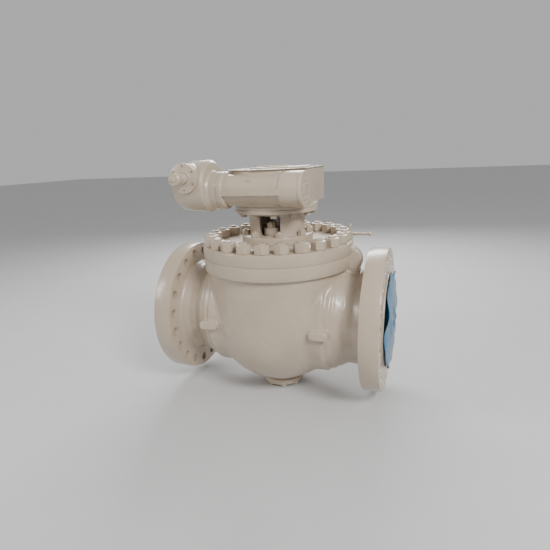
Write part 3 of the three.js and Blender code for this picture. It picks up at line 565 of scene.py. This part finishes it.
def ear_field(along, y, z):
    """A lifting ear: a thick round plate in the plane of the stem and the pipe."""
    near, far = EAR["foot_x"]
    low, high = EAR["foot_z"]
    disc = np.hypot(along - EAR["x"], z - EAR["z"]) - EAR["r"]
    foot = np.maximum(np.maximum(along - far, near - along), np.maximum(low - z, z - high))
    return trimmed(np.minimum(disc, foot), np.abs(y) - EAR["half"], 7)


def boss_field(along, y, z):
    """A stubby boss on the front of the body, over a seat, with round corners."""
    soft = BOSS["round"]
    u = np.abs(along - BOSS["x"]) - BOSS["half_x"] + soft
    w = np.abs(z - BOSS["z"]) - BOSS["half_z"] + soft
    plan = np.hypot(np.maximum(u, 0), np.maximum(w, 0)) + np.minimum(np.maximum(u, w), 0) - soft
    return trimmed(plan, np.maximum(BOSS["face"] - y, y - BOSS["root"]), 6)


# The same outline at every millimetre, its corners softened by a running mean.
SOFT_RUN_X = np.linspace(0, 490, 491)
PADDED_RUN_R = np.pad(np.interp(SOFT_RUN_X, RUN_X, RUN_R), 4, mode="edge")
SOFT_RUN_R = np.convolve(PADDED_RUN_R, np.ones(9) / 9, "valid")


def end_flange():
    """The machined flange on the +X end, with its raised face."""
    back, rim, rim_r, face_r = FLANGE["back"], FLANGE["rim"], FLANGE["r"], FLANGE["face_r"]
    return lathe(rounded([
        (back, 0), (back, rim_r, 3), (rim, rim_r, 3),
        (rim, face_r, 1.5), (FACE_X, face_r, 1.5), (FACE_X, 0),
    ], 2), "x", 144)


def stud_holes():
    """The end flange's bolt holes on the +X side, chamfered where they break out."""
    back, rim, hole_r = FLANGE["back"], FLANGE["rim"], FLANGE["hole_r"]
    wide = hole_r + FLANGE["hole_chamfer"]
    hole = lathe(rounded([
        (back - 2, 0), (back - 2, wide), (back + 1.4, hole_r),
        (rim - 1.4, hole_r), (rim + 2, wide), (rim + 2, 0),
    ]), "x", 28)
    half_pitch = 180 / FLANGE["holes"]
    return ring_of(moved(hole, z=FLANGE["circle_r"]), FLANGE["holes"], "X", half_pitch)


def valve_body():
    shell = surface(body_field, (-508, -388, -368), (508, 388, 376), 4.2)
    flange = end_flange()
    rim = lathe(rounded([
        (TOP_FLANGE_BOTTOM, 0), (TOP_FLANGE_BOTTOM, TOP_R, 3), (TOP_Z, TOP_R, 2), (TOP_Z, 0),
    ], 2), sides=160)
    foot = lathe(rounded([
        (-330, 0), (-330, 96), (-346, BOTTOM_BOSS_R), (BOTTOM_BOSS_Z, BOTTOM_BOSS_R, 2), (BOTTOM_BOSS_Z, 0),
    ], 2), sides=96)
    bore_end = FACE_X + 5
    bore = lathe([(-bore_end, 0), (-bore_end, BORE_R), (bore_end, BORE_R), (bore_end, 0)], "x", 120)
    pocket_r, pocket_x = SEAT_POCKET["r"], SEAT_POCKET["x"]
    pockets = lathe([(-pocket_x, 0), (-pocket_x, pocket_r), (pocket_x, pocket_r), (pocket_x, 0)], "x", 120)
    quarter = np.linspace(-math.pi / 2, 0, 24)[:-1]
    bowl = [(CAVITY_R * math.sin(a), CAVITY_R * math.cos(a)) for a in quarter]
    cavity = lathe([*bowl, (0, CAVITY_R), (TOP_Z + 5, CAVITY_R), (TOP_Z + 5, 0)], sides=120)
    well_bottom = BOTTOM_BOSS_Z - 5
    well = lathe([
        (well_bottom, 0), (well_bottom, TRUNNION_WELL_R), (-240, TRUNNION_WELL_R), (-240, 0),
    ], sides=64)
    above = lathe([(TOP_Z, 0), (TOP_Z, TOP_R + 0.6), (500, TOP_R + 0.6), (500, 0)], sides=160)
    holes = stud_holes()
    left_holes = (holes[0] * np.array([-1, 1, 1]), [list(reversed(face)) for face in holes[1]])
    shape = carve(
        shell, add=[flange, moved(flange, turn=180), rim, foot],
        cut=[above, cavity, pockets, bore, well, holes, left_holes],
    )
    piece("cast_body", shape, CAST_PAINT, replaces=["valve_body"])


def bonnet():
    spigot_r, spigot_z = 297.5, BONNET_LOW.z
    under, over = spigot_z - 5, BONNET_TOP + 5
    shoulder_z = TOP_Z + 0.4
    stem_r, box_floor, collar_r, collar_top = 55, 332, 79, 310
    disc = lathe(rounded([
        (spigot_z, 0), (spigot_z, spigot_r, 2), (shoulder_z, spigot_r), (shoulder_z, TOP_R, 2.2),
        (BONNET_TOP, TOP_R, 3), (BONNET_TOP, 0),
    ], 2), sides=160)
    stem_hole = lathe([(under, 0), (under, stem_r), (over, stem_r), (over, 0)], sides=64)
    box_hole = lathe([
        (box_floor, 0), (box_floor, STUFFING_BOX_R), (over, STUFFING_BOX_R), (over, 0),
    ], sides=64)
    collar_hole = lathe([
        (under, 0), (under, collar_r), (collar_top, collar_r), (collar_top, 0),
    ], sides=64)
    disc = carve(disc, cut=[stem_hole, box_hole, collar_hole])
    piece("bonnet_disc", disc, SMOOTH_PAINT, replaces=["bonnet"])


def bonnet_studs():
    """Two dozen studs with heavy nuts, each nut left at its own angle by the spanner."""
    bottom = BONNET_TOP + 0.3
    nut = hexagon(STUDS["nut_af"], bottom, bottom + STUDS["nut_high"], 0.07)
    rod = threaded_end(STUDS["r"], BONNET_TOP - 20, STUD_TOP, 4)
    for i in range(STUDS["count"]):
        azimuth = math.radians(STUDS["phase"] + 360 * i / STUDS["count"])
        turned = moved(nut, turn=rng.uniform(0, 60))
        x = STUDS["circle_r"] * math.cos(azimuth)
        y = STUDS["circle_r"] * math.sin(azimuth)
        number = f"{i + 1:02d}"
        shape = moved(stack([turned, rod]), x=x, y=y)
        replaced = [f"bonnet_stud_{number}"]
        piece(f"stud_and_nut_{number}", shape, SMOOTH_PAINT, replaces=replaced)


def bottom_cover():
    low, high = span("bottom_cover")
    under, pad_r, plate_r = high.z - 28, 60, high.x
    disc = lathe(rounded([
        (low.z, 0), (low.z, pad_r, 3), (under, pad_r, 4),
        (under, plate_r, 3), (high.z, plate_r, 2), (high.z, 0),
    ], 3), sides=96)
    piece("bottom_plate", disc, SMOOTH_PAINT, replaces=["bottom_cover"])
    head = hexagon(COVER_BOLTS["af"], under - COVER_BOLTS["high"], under + 1, 0.1)
    heads = ring_of(moved(head, x=COVER_BOLTS["circle_r"]), COVER_BOLTS["count"], phase=20)
    piece("bottom_plate_bolts", heads, SMOOTH_PAINT)


# ---------------- closure
def closure():
    """The ball with its bore, its neck, the slot for the stem and the trunnion's socket."""
    ball_r, flat, neck_r, socket_r = BALL["r"], BALL["flat"], BALL["neck_r"], BALL["socket_r"]
    slot_x, slot_y, slot_floor, slot_top = 48.3, 22.3, 215, 300
    socket_top = -204
    top = math.asin(flat / ball_r)
    profile = [(ball_r * math.sin(a), ball_r * math.cos(a)) for a in np.linspace(-top, top, 48)]
    sphere = lathe([(-flat, 0), *profile, (flat, 0)], sides=128)
    neck_top = span("ball")[1].z
    neck = lathe([(flat - 20, 0), (flat - 20, neck_r), (neck_top, neck_r), (neck_top, 0)], sides=64)
    bore = lathe([(-ball_r, 0), (-ball_r, BORE_R), (ball_r, BORE_R), (ball_r, 0)], "x", 120)
    edge = math.sqrt(ball_r ** 2 - BORE_R ** 2)
    flare = lathe([(edge - 6, 0), (edge - 6, BORE_R - 1), (edge + 6, BORE_R + 8), (edge + 6, 0)], "x", 120)
    plan = [(-slot_x, -slot_y), (slot_x, -slot_y), (slot_x, slot_y), (-slot_x, slot_y)]
    slot = prism(plan, slot_floor, slot_top)
    socket = lathe([
        (-flat - 5, 0), (-flat - 5, socket_r), (socket_top, socket_r), (socket_top, 0),
    ], sides=64)
    shape = carve(sphere, add=[neck], cut=[bore, flare, moved(flare, turn=180), slot, socket])
    piece("polished_ball", shape, CHROME, "ball", ["ball"])


def seats():
    """Two steel seat rings, each with a soft insert in a groove against the ball."""
    groove_in, groove_out, outer_r, back = 202, 212, 225.4, 283
    ring_gap, insert_gap, groove_deep = 3.4, 2.4, 16

    def front(radius, clear):
        """Distance from the stem of the ball's surface, and some clearance, at a radius."""
        return math.sqrt((BALL["r"] + clear) ** 2 - radius ** 2)

    floor = front(groove_out, ring_gap) + groove_deep
    ring = lathe([
        (back, BORE_R), (front(BORE_R + 3, ring_gap), BORE_R), (front(BORE_R + 6, ring_gap), BORE_R + 3),
        (front(groove_in, ring_gap), groove_in), (floor, groove_in), (floor, groove_out),
        (front(groove_out, ring_gap), groove_out), (front(218, ring_gap) + 3, outer_r), (back, outer_r),
    ], "x", 120)
    insert_in, insert_out = groove_in + 0.3, groove_out - 0.3
    insert = lathe([
        (floor - 0.3, insert_in), (front(insert_in, insert_gap), insert_in),
        (front(insert_out, insert_gap), insert_out), (floor - 0.3, insert_out),
    ], "x", 120)
    for side, turn in (("right", 0), ("left", 180)):
        body = f"seat_{side}"
        steel, soft = moved(ring, turn=turn), moved(insert, turn=turn)
        piece(f"seat_steel_{side}", steel, BARE_STEEL, body, [f"seat_ring_{side}"])
        piece(f"seat_soft_{side}", soft, SEAT_POLYMER, body, [f"seat_insert_{side}"])


# ---------------- gland and bracket
def gland():
    """The gland: an oval plate on a sleeve, and its two studs with their nuts."""
    low, high = span("gland_flange")
    lobe_y, lobe_r, hub_r, plate_from = 76, 41, 76, 425
    sleeve_r, hole_r, stud_y, stud_r, nut_af = 71.7, 51, 90, 12, 41
    lean = math.asin((hub_r - lobe_r) / lobe_y)
    side_arc, end_arc = np.linspace(-lean, lean, 14), np.linspace(lean, math.pi - lean, 18)
    half = [(hub_r * math.cos(a), hub_r * math.sin(a)) for a in side_arc]
    half += [(lobe_r * math.cos(a), lobe_y + lobe_r * math.sin(a)) for a in end_arc]
    plate = prism(half + [(-x, -y) for x, y in half], plate_from, high.z, 3)
    sleeve = lathe([
        (low.z, 0), (low.z, sleeve_r), (plate_from + 5, sleeve_r), (plate_from + 5, 0),
    ], sides=64)
    hole = lathe([(low.z - 5, 0), (low.z - 5, hole_r), (high.z + 5, hole_r), (high.z + 5, 0)], sides=64)
    plate = carve(plate, add=[sleeve], cut=[hole])
    piece("gland_plate", plate, SMOOTH_PAINT, replaces=["gland_flange"])
    nut = hexagon(nut_af, high.z + 0.3, high.z + 26, 0.08)
    for side, y in (("front", -stud_y), ("back", stud_y)):
        bottom, tip = span(f"gland_stud_{side}")
        rod = threaded_end(stud_r, bottom.z, tip.z - 3, 3)
        shape = moved(stack([nut, rod]), y=y)
        piece(f"gland_stud_and_nut_{side}", shape, SMOOTH_PAINT, replaces=[f"gland_stud_{side}"])


def bracket():
    """The tube that carries the gear case, with a window on each side for the gland."""
    bottom, top = BRACKET_LOW.z, BRACKET_HIGH.z
    base_r, base_top, tube_r, inner_r = 181, 424, 141, 118
    flange_r, flange_from = BRACKET_HIGH.x, 538
    nut_circle_r, bolt_circle_r = 161, 178
    spool = lathe(rounded([
        (bottom, inner_r), (bottom, base_r, 2), (base_top, base_r, 4), (base_top, tube_r, 2),
        (flange_from, tube_r, 6), (flange_from, flange_r, 3), (top, flange_r, 3), (top, inner_r),
    ], 3, closed=True), sides=120)
    half, corner, sill, lintel = WINDOW["half"], WINDOW["corner"], WINDOW["from"], WINDOW["to"]
    opening = rounded([
        (-half, -lintel, 5), (half, -lintel, 5), (half, -sill, corner), (-half, -sill, corner),
    ], 5, closed=True)
    reach = tube_r + 10
    window = moved(prism(opening, -reach, reach), turn=-90, axis="X")
    shape = carve(spool, cut=[moved(window, turn=WINDOW["azimuth"] + 90)])
    piece("bracket_spool", shape, SMOOTH_PAINT, replaces=["bracket"])
    nut = hexagon(36, base_top, base_top + 22, 0.08)
    rod = threaded_end(11, base_top - 5, base_top + 28, 3)
    foot_nut = moved(stack([nut, rod]), x=nut_circle_r)
    piece("bracket_foot_nuts", ring_of(foot_nut, 8, phase=22.5), SMOOTH_PAINT)
    head = moved(hexagon(30, flange_from - 19, flange_from + 1, 0.08), x=bolt_circle_r)
    piece("case_bolts", ring_of(head, 12, phase=15), SMOOTH_PAINT)


# ---------------- gear operator
def case_field(x, y, z):
    """The gear case: a round wall, a square right end, the worm's tube and a ledge along it."""
    wall_round = 5
    round_end = np.hypot(x, y) - CASE["wall_r"]
    square_end = np.maximum(np.abs(x - 100) - 100, np.abs(y - 25) - 175)
    plan = trimmed(np.minimum(round_end, square_end), x - CASE["right"], wall_round)
    plan = np.maximum(plan, (x - y - CASE["right"] - 150 + 16) * 0.7)
    middle, half = (CASE["floor"] + CASE_TOP) / 2, (CASE_TOP - CASE["floor"]) / 2
    case = trimmed(plan, np.abs(z - middle) - half, wall_round)
    around = np.hypot(y - WORM_Y, z - WORM_Z)
    tube = np.maximum(around - TUBE["r"], np.abs(x + 25) - 150)
    middle, half = (TUBE["big_from"] + TUBE["joint"]) / 2, (TUBE["joint"] - TUBE["big_from"]) / 2
    big = trimmed(around - TUBE["big_r"], np.abs(x - middle) - half, 2)
    ledge = np.maximum(np.abs(x + 28) - 142, np.abs(z - WORM_Z + 8.5) - 12.5)
    ledge = trimmed(ledge, np.abs(y - WORM_Y + 42) - 40, 2)
    case = filleted(case, tube, 9)
    case = filleted(case, big, 5)
    case = filleted(case, ledge, 1.5)
    foot = trimmed(np.hypot(x, y) - CASE["base_r"] + 3, np.abs(z - CASE_BASE - 12) - 10, 2)
    return filleted(case, foot, 8) + unevenness(x, y, z, 60, 0.5)


def case_plan(radius, overhang):
    """Plan of the gear case: a round end about the stem, and square to the right."""
    right, back, front = CASE["right"] + overhang, CASE["back"] + overhang, CASE["front"] - overhang
    first, last = math.asin(back / radius), 2 * math.pi + math.asin(front / radius)
    plan = [(radius * math.cos(a), radius * math.sin(a)) for a in np.linspace(first, last, 72)]
    return plan + rounded([plan[-1], (right, front, 12), (right, back, 12), plan[0]], 5)[1:-1]


def at_worm(shape):
    """A shape made about the X axis, put on the worm's line."""
    return moved(shape, y=WORM_Y, z=WORM_Z)


def gear_case():
    base_r, floor = CASE["base_r"], CASE["floor"]
    chamber_r, chamber_floor, well_r = 180, 598, 84
    shell = surface(case_field, (-238, -292, CASE_BASE - 8), (222, 236, CASE_TOP + 10), 3.2)
    foot = lathe(rounded([
        (CASE_BASE, 0), (CASE_BASE, base_r, 2.5), (floor, base_r, 3), (floor, 0),
    ], 2), sides=120)
    (start, end), flange_r, root_r = TUBE["flange"], TUBE["flange_r"], TUBE["r"] + 3
    collar = lathe(rounded([
        (start, 0), (start, flange_r, 3), (end, flange_r, 5), (end + 8, root_r), (end + 8, 0),
    ], 3), "x", 96)
    bore_r, open_end, seat_from = TUBE["bore_r"], TUBE["right"] + 5, 187
    tunnel = lathe([(start - 5, 0), (start - 5, bore_r), (open_end, bore_r), (open_end, 0)], "x", 64)
    seat = lathe([(seat_from, 0), (seat_from, 72), (open_end, 72), (open_end, 0)], "x", 64)
    chamber = lathe([
        (chamber_floor, 0), (chamber_floor, chamber_r), (CASE_TOP + 5, chamber_r), (CASE_TOP + 5, 0),
    ], sides=96)
    well = lathe([(CASE_BASE - 5, 0), (CASE_BASE - 5, well_r), (600, well_r), (600, 0)], sides=64)
    shape = carve(shell, add=[foot, at_worm(collar)], cut=[at_worm(tunnel), at_worm(seat), chamber, well])
    piece("gear_case", shape, GEAR_PAINT, replaces=["gearbox_housing"])


def gear_case_lid():
    """The lid, with a raised pad that the indicator sits in, and its sunk screws."""
    recess_r, hole_r, screw_circle_r = 97, 60, 212
    lid = prism(case_plan(LID["r"], LID["overhang"]), CASE_TOP + 0.3, LID_TOP, 2.2)
    (left, right), half = LID["pad_x"], LID["pad_y"]
    plan = rounded([
        (left, -half, 14), (right, -half, 14), (right, half, 14), (left, half, 14),
    ], 5, closed=True)
    pad = prism(plan, LID_TOP - 4, LID_TOP + 6.5, 2)
    recess = lathe([
        (LID_TOP, 0), (LID_TOP, recess_r), (LID_TOP + 20, recess_r), (LID_TOP + 20, 0),
    ], sides=72)
    hole = lathe([
        (CASE_TOP - 5, 0), (CASE_TOP - 5, hole_r), (LID_TOP + 5, hole_r), (LID_TOP + 5, 0),
    ], sides=64)
    shape = carve(lid, add=[pad], cut=[hole, recess])
    piece("gear_case_lid", shape, SMOOTH_PAINT, replaces=["gearbox_cover"])
    screw = socket_screw(9, LID_TOP - 4, LID_TOP + 1.2)
    turns = [math.radians(degrees) for degrees in (80, 125, 160, 195, 230, 270)]
    places = [(screw_circle_r * math.cos(a), screw_circle_r * math.sin(a)) for a in turns]
    places += [(188, y) for y in (182, 60, -60, -136)]
    screws = stack([moved(screw, x=x, y=y) for x, y in places])
    piece("gear_case_lid_screws", screws, SMOOTH_PAINT)


def indicator():
    """The position indicator: a rimmed disc with a raised bar, turning with the stem."""
    low, high = span("position_indicator")
    hub_r, disc_r, bar_half, bar_wide = 56, (high.y - low.y) / 2, 75, 8
    disc = lathe(rounded([
        (low.z, 0), (low.z, hub_r, 1), (LID_TOP + 0.4, hub_r), (LID_TOP + 0.4, disc_r, 1.5),
        (LID_TOP + 7, disc_r, 3), (LID_TOP + 7, 78, 2), (LID_TOP + 5, 76, 2), (LID_TOP + 5, 0),
    ], 3), sides=96)
    plan = rounded([
        (-bar_half, -bar_wide, 4), (bar_half, -bar_wide, 4),
        (bar_half, bar_wide, 4), (-bar_half, bar_wide, 4),
    ], 3, closed=True)
    shape = carve(disc, add=[prism(plan, LID_TOP + 3, high.z, 1.5)])
    piece("indicator_disc", shape, SMOOTH_PAINT, "ball", ["position_indicator"])


def at_input_shaft(shape):
    """A shape made about the Y axis, put on the input shaft's line."""
    return moved(shape, x=(SHAFT_LOW.x + SHAFT_HIGH.x) / 2, z=(SHAFT_LOW.z + SHAFT_HIGH.z) / 2)


def reducer_case():
    """The primary reducer: a barrel about the worm's line, with a neck to the gear case."""
    left, right = DRUM_LEFT, -243
    drum_z, drum_r, neck_r, neck_end = 677, 120, 87, TUBE["flange"][0] - 0.4
    bore_r, chamber_r, well_r, pocket_r = TUBE["bore_r"], 90, 44, 26
    drum = lathe(rounded([
        (left, 0), (left, 92, 12), (left + 16, 110, 18), (left + 70, 118.5, 60), (right - 6, drum_r, 2.5),
        (right + 5, drum_r - 12, 6), (right + 5, 0),
    ], 5), "x", 128)
    neck = lathe(rounded([
        (right - 10, 0), (right - 10, neck_r + 14), (right + 5, neck_r + 8, 5), (right + 16, neck_r, 8),
        (neck_end, neck_r, 2), (neck_end, 0),
    ], 3), "x", 96)
    face = COVER_LOW.y
    pad = lathe(rounded([
        (face + 12.3, 0), (face + 12.3, 66, 2), (WORM_Y, 66), (WORM_Y, 0),
    ], 2), "y", 72)
    boss = lathe(rounded([(-140, 0), (-140, 42), (-88, 42, 4), (-88, 0)], 3), "y", 64)
    chamber = lathe([
        (left + 20, 0), (left + 20, chamber_r), (right - 20, chamber_r), (right - 20, 0),
    ], "x", 64)
    opening = lathe([(right - 30, 0), (right - 30, bore_r), (-210, bore_r), (-210, 0)], "x", 64)
    well = lathe([(face + 5, 0), (face + 5, well_r), (WORM_Y, well_r), (WORM_Y, 0)], "y", 64)
    pocket = lathe([(WORM_Y, 0), (WORM_Y, pocket_r), (-120, pocket_r), (-120, 0)], "y", 48)
    shape = carve(
        moved(drum, y=WORM_Y, z=drum_z),
        add=[at_worm(neck), at_input_shaft(pad), at_input_shaft(boss)],
        cut=[
            moved(chamber, y=WORM_Y, z=drum_z), at_worm(opening),
            at_input_shaft(well), at_input_shaft(pocket),
        ],
    )
    piece("reducer_case", shape, GEAR_PAINT, replaces=["reducer_housing"])


def input_plate():
    """The round cover that the input shaft comes out of, with six dimples for its screws."""
    face, back, spigot_end = COVER_LOW.y, COVER_LOW.y + 12, COVER_HIGH.y
    hole_r, plate_r, spigot_r = 26, 68, 43.6
    cover = lathe(rounded([
        (face, hole_r), (face, 34, 1), (face + 2, 36, 1), (face + 2, plate_r, 2), (back, plate_r, 2),
        (back, spigot_r), (spigot_end, spigot_r), (spigot_end, hole_r),
    ], 2, closed=True), "y", 96)
    dimple = lathe([(face - 2, 0), (face - 2, 7.5), (face + 7, 5), (face + 7, 0)], "y", 20)
    dimples = ring_of(moved(dimple, x=54), 6, "Y", 30)
    shape = at_input_shaft(carve(cover, cut=[dimples]))
    piece("input_plate", shape, SMOOTH_PAINT, replaces=["input_cover"])


def input_spindle():
    """The input shaft: a knob at its tip, plain journals and a waist where it drives the wheel."""
    tip, end = SHAFT_LOW.y, SHAFT_HIGH.y
    knob_r, shank_r, journal_r, waist_r = 29, 23, 25, 10
    shaft = lathe(rounded([
        (tip, 0), (tip, 9, 2), (tip + 7, 11, 1), (tip + 7, 24), (tip + 12, knob_r, 2), (tip + 28, knob_r, 3),
        (tip + 31, shank_r, 2), (tip + 60, shank_r, 1), (tip + 62, journal_r, 1), (WORM_Y - 30, journal_r),
        (WORM_Y - 21, waist_r), (WORM_Y + 21, waist_r), (WORM_Y + 30, journal_r), (end, journal_r), (end, 0),
    ], 2), "y", 64)
    shape = at_input_shaft(shaft)
    piece("input_spindle", shape, SMOOTH_PAINT, "input", ["input_shaft"])


def end_cap():
    """The plate that closes the worm's tube, its screws, and a plug on top of the tube."""
    inner, outer = CAP_LOW.x - 8, CAP_HIGH.x
    joint, spigot_r, cap_r = TUBE["joint"] + 0.5, 71.7, TUBE["big_r"]
    cap = lathe(rounded([
        (inner, 0), (inner, spigot_r), (joint, spigot_r), (joint, cap_r, 1.2), (outer - 1.5, cap_r, 2),
        (outer, 76, 2), (outer, 62, 1), (outer - 2, 60, 1), (outer - 2, 30, 1), (outer - 0.5, 28, 1),
        (outer - 0.5, 0),
    ], 2), "x", 96)
    piece("worm_end_plate", at_worm(cap), SMOOTH_PAINT, replaces=["worm_end_cap"])
    screw = moved(moved(socket_screw(6.5, 0, 4), turn=90, axis="Y"), x=outer - 2.5, z=45)
    piece("worm_end_plate_screws", at_worm(ring_of(screw, 8, "X", 22.5)), SMOOTH_PAINT)
    plug = stack([hexagon(15, 69, 77, 0.1), lathe([(66, 0), (66, 11), (72, 11), (72, 0)], sides=32)])
    plug = moved(moved(plug, turn=50, axis="X"), x=-34, y=WORM_Y, z=WORM_Z)
    piece("breather_plug", plug, SMOOTH_PAINT)


# ---------------- trim
def vent():
    """The body vent: a hexagon post with a spout to the right, and a screw with a cross bar."""
    low, high = span("vent_spindle")
    post_x, post_y = (low.x + high.x) / 2, (low.y + high.y) / 2
    base, top, spout_z, tip = VENT_LOW.z, 418, 406, VENT_HIGH.x
    post_r, bore_r, bore_deep, screw_r, neck_r = 10.5, 7, 13, 6, 4.5
    collar = lathe(rounded([
        (394, 0), (394, post_r), (top, post_r, 2), (top, bore_r),
        (top - bore_deep, bore_r), (top - bore_deep, 0),
    ], 3), sides=32)
    post = stack([hexagon(26, base, 396, 0.06), collar])
    spout = lathe(rounded([
        (post_x + 8, 0), (post_x + 8, 8), (post_x + 30, 8, 1), (post_x + 31, 6.5, 1),
        (tip - 15, 6.5, 2), (tip - 13, 10, 1.5), (tip - 3, 10, 3), (tip, 6), (tip, 0),
    ], 3), "x", 32)
    fitting = stack([moved(post, x=post_x, y=post_y), moved(spout, y=post_y, z=spout_z)])
    piece("vent_fitting", fitting, SMOOTH_PAINT, replaces=["vent_body"])
    rod = lathe(rounded([
        (top - 12, 0), (top - 12, screw_r), (top + 8, screw_r), (top + 10, neck_r), (high.z - 14, neck_r),
        (high.z - 12, screw_r, 1), (high.z, screw_r, 2), (high.z, 0),
    ], 3), sides=24)
    bar = lathe(rounded([(-22, 0), (-22, 3.5, 1.5), (22, 3.5, 1.5), (22, 0)], 3), "y", 20)
    screw = stack([moved(rod, x=post_x, y=post_y), moved(bar, x=post_x, y=post_y, z=high.z - 9)])
    piece("vent_screw", screw, SMOOTH_PAINT, "vent_spindle", ["vent_spindle"])


def protector(side):
    """A moulded plastic disc pushed into the bore, its rim warped and its middle blown out."""
    low, high = span(f"end_protector_{side}")
    reach = max(abs(low.x), abs(high.x))
    face, rim_r, skirt_r, skin = FACE_X + 0.4, 240, 185.5, 3
    dome = reach - face - 3
    radii = np.linspace(0, rim_r, 26)
    rise = [skin + (dome - skin) * (1 - (r / rim_r) ** 2) ** 0.8 * 0.85 + 2 for r in radii]
    outer = [(face + h, float(r)) for h, r in zip(rise, radii)]
    under = [(face + h - skin, float(r)) for h, r in zip(rise, radii)][::-1]
    skirt_inner_r = skirt_r - 6
    lip = [(along, r) for along, r in under if r > skirt_r + 1]
    middle = [(along, r) for along, r in under if r < skirt_inner_r]
    skirt = [
        (face + 1, skirt_r), (face - 30, skirt_r - 0.5), (face - 30, skirt_r - 3.5), (face + 1, skirt_r - 4),
    ]
    points, faces = lathe([*outer, *lip, *skirt, *middle], "x", 144)
    radius = np.hypot(points[:, 1], points[:, 2])
    turn = np.arctan2(points[:, 2], points[:, 1])
    above_face = points[:, 0] > face + 0.5
    outside = np.clip((radius - 165) / 75, 0, 1) ** 2 * above_face
    ripple = 7 * np.sin(5 * turn + 0.6) + 4 * np.sin(9 * turn + 2.0) + 8
    centre = np.clip(1 - radius / 200, 0, 1) * above_face
    crease = 5 * np.sin(3 * turn + 1.2) * np.sin(radius / 23)
    crease = crease + 3 * np.sin(points[:, 1] / 21 + points[:, 2] / 33)
    lift = outside * ripple + centre * crease
    points[:, 0] = np.minimum(points[:, 0] + lift, reach)
    shape = (points, faces) if side == "right" else moved((points, faces), turn=180)
    name, body = f"blue_end_disc_{side}", f"protector_{side}"
    piece(name, shape, BLUE_PLASTIC, body, [f"end_protector_{side}"])


# ---------------- the object
valve_body()
bonnet()
bonnet_studs()
bottom_cover()
closure()
seats()
gland()
bracket()
gear_case()
gear_case_lid()
indicator()
reducer_case()
input_plate()
input_spindle()
end_cap()
vent()
protector("right")
protector("left")

slots = {entry["node"]: entry["material_slot"] for entry in frame["record"]["subparts"]}
for node, carried in frame["nodes"].items():
    carried.data.materials.clear()
    carried.data.materials.append(SLOT_LOOKS[slots[node]])


# ---------------- floor, light and camera
def floor():
    """A pale, matt ground with a faint mottle."""
    mesh = bpy.data.meshes.new("floor")
    half = 30
    corners = [(-half, -half, 0), (half, -half, 0), (half, half, 0), (-half, half, 0)]
    mesh.from_pydata(corners, [], [(0, 1, 2, 3)])
    material, tree, shader, place = node_tree("pale_floor")
    greys = [(0.3, (0.55, 0.55, 0.55)), (0.7, (0.57, 0.57, 0.57))]
    tree.links.new(ramp(tree, noise(tree, place, 3.0, 4.0), greys), shader.inputs["Base Color"])
    shader.inputs["Roughness"].default_value = 0.7
    mesh.materials.append(material)
    ground = bpy.data.objects.new("floor", mesh)
    bpy.context.scene.collection.objects.link(ground)


def area_light(name, place, target, size, power):
    light = bpy.data.lights.new(name, "AREA")
    light.shape = "RECTANGLE"
    light.size, light.size_y = size
    light.energy = power
    lamp = bpy.data.objects.new(name, light)
    lamp.location = place
    lamp.rotation_mode = "QUATERNION"
    lamp.rotation_quaternion = (Vector(target) - Vector(place)).to_track_quat("-Z", "Y")
    bpy.context.scene.collection.objects.link(lamp)


def camera():
    """Stands in front and to the right, as high as the gear case, and looks a little down."""
    eye_x, eye_y, eye_height = 0.755, -2.074, 0.797
    lens, sensor_width = 28.4, 36
    yaw, pitch, roll = math.radians(20.61), math.radians(15.21), math.radians(2.56)
    forward = Vector((-math.sin(yaw) * math.cos(pitch), math.cos(yaw) * math.cos(pitch), -math.sin(pitch)))
    right = Vector((math.cos(yaw), math.sin(yaw), 0))
    down = forward.cross(right)
    rolled_right = math.cos(roll) * right + math.sin(roll) * down
    rolled_down = math.cos(roll) * down - math.sin(roll) * right
    data = bpy.data.cameras.new("camera")
    data.sensor_width = sensor_width
    data.lens = lens
    data.clip_start, data.clip_end = 0.05, 100
    eye = bpy.data.objects.new("camera", data)
    turned = Matrix((rolled_right, -rolled_down, -forward)).transposed().to_4x4()
    eye.matrix_world = Matrix.Translation((eye_x, eye_y, eye_height + PIPE_HEIGHT * MM)) @ turned
    bpy.context.scene.collection.objects.link(eye)
    bpy.context.scene.camera = eye


world = bpy.data.worlds.new("studio")
world.use_nodes = True
world.node_tree.nodes["Background"].inputs["Color"].default_value = (1, 1, 1, 1)
world.node_tree.nodes["Background"].inputs["Strength"].default_value = 0.5
bpy.context.scene.world = world
floor()
area_light("key", (3.1, -2.8, 3.6), (0, 0, 0.6), (1.5, 1.1), 245)
area_light("fill", (-3.2, -2.2, 2.4), (-0.2, 0, 0.6), (1.0, 1.6), 60)
area_light("window", (-0.8, 3.6, 3.0), (0, 0, 1.0), (3.2, 1.4), 200)
camera()
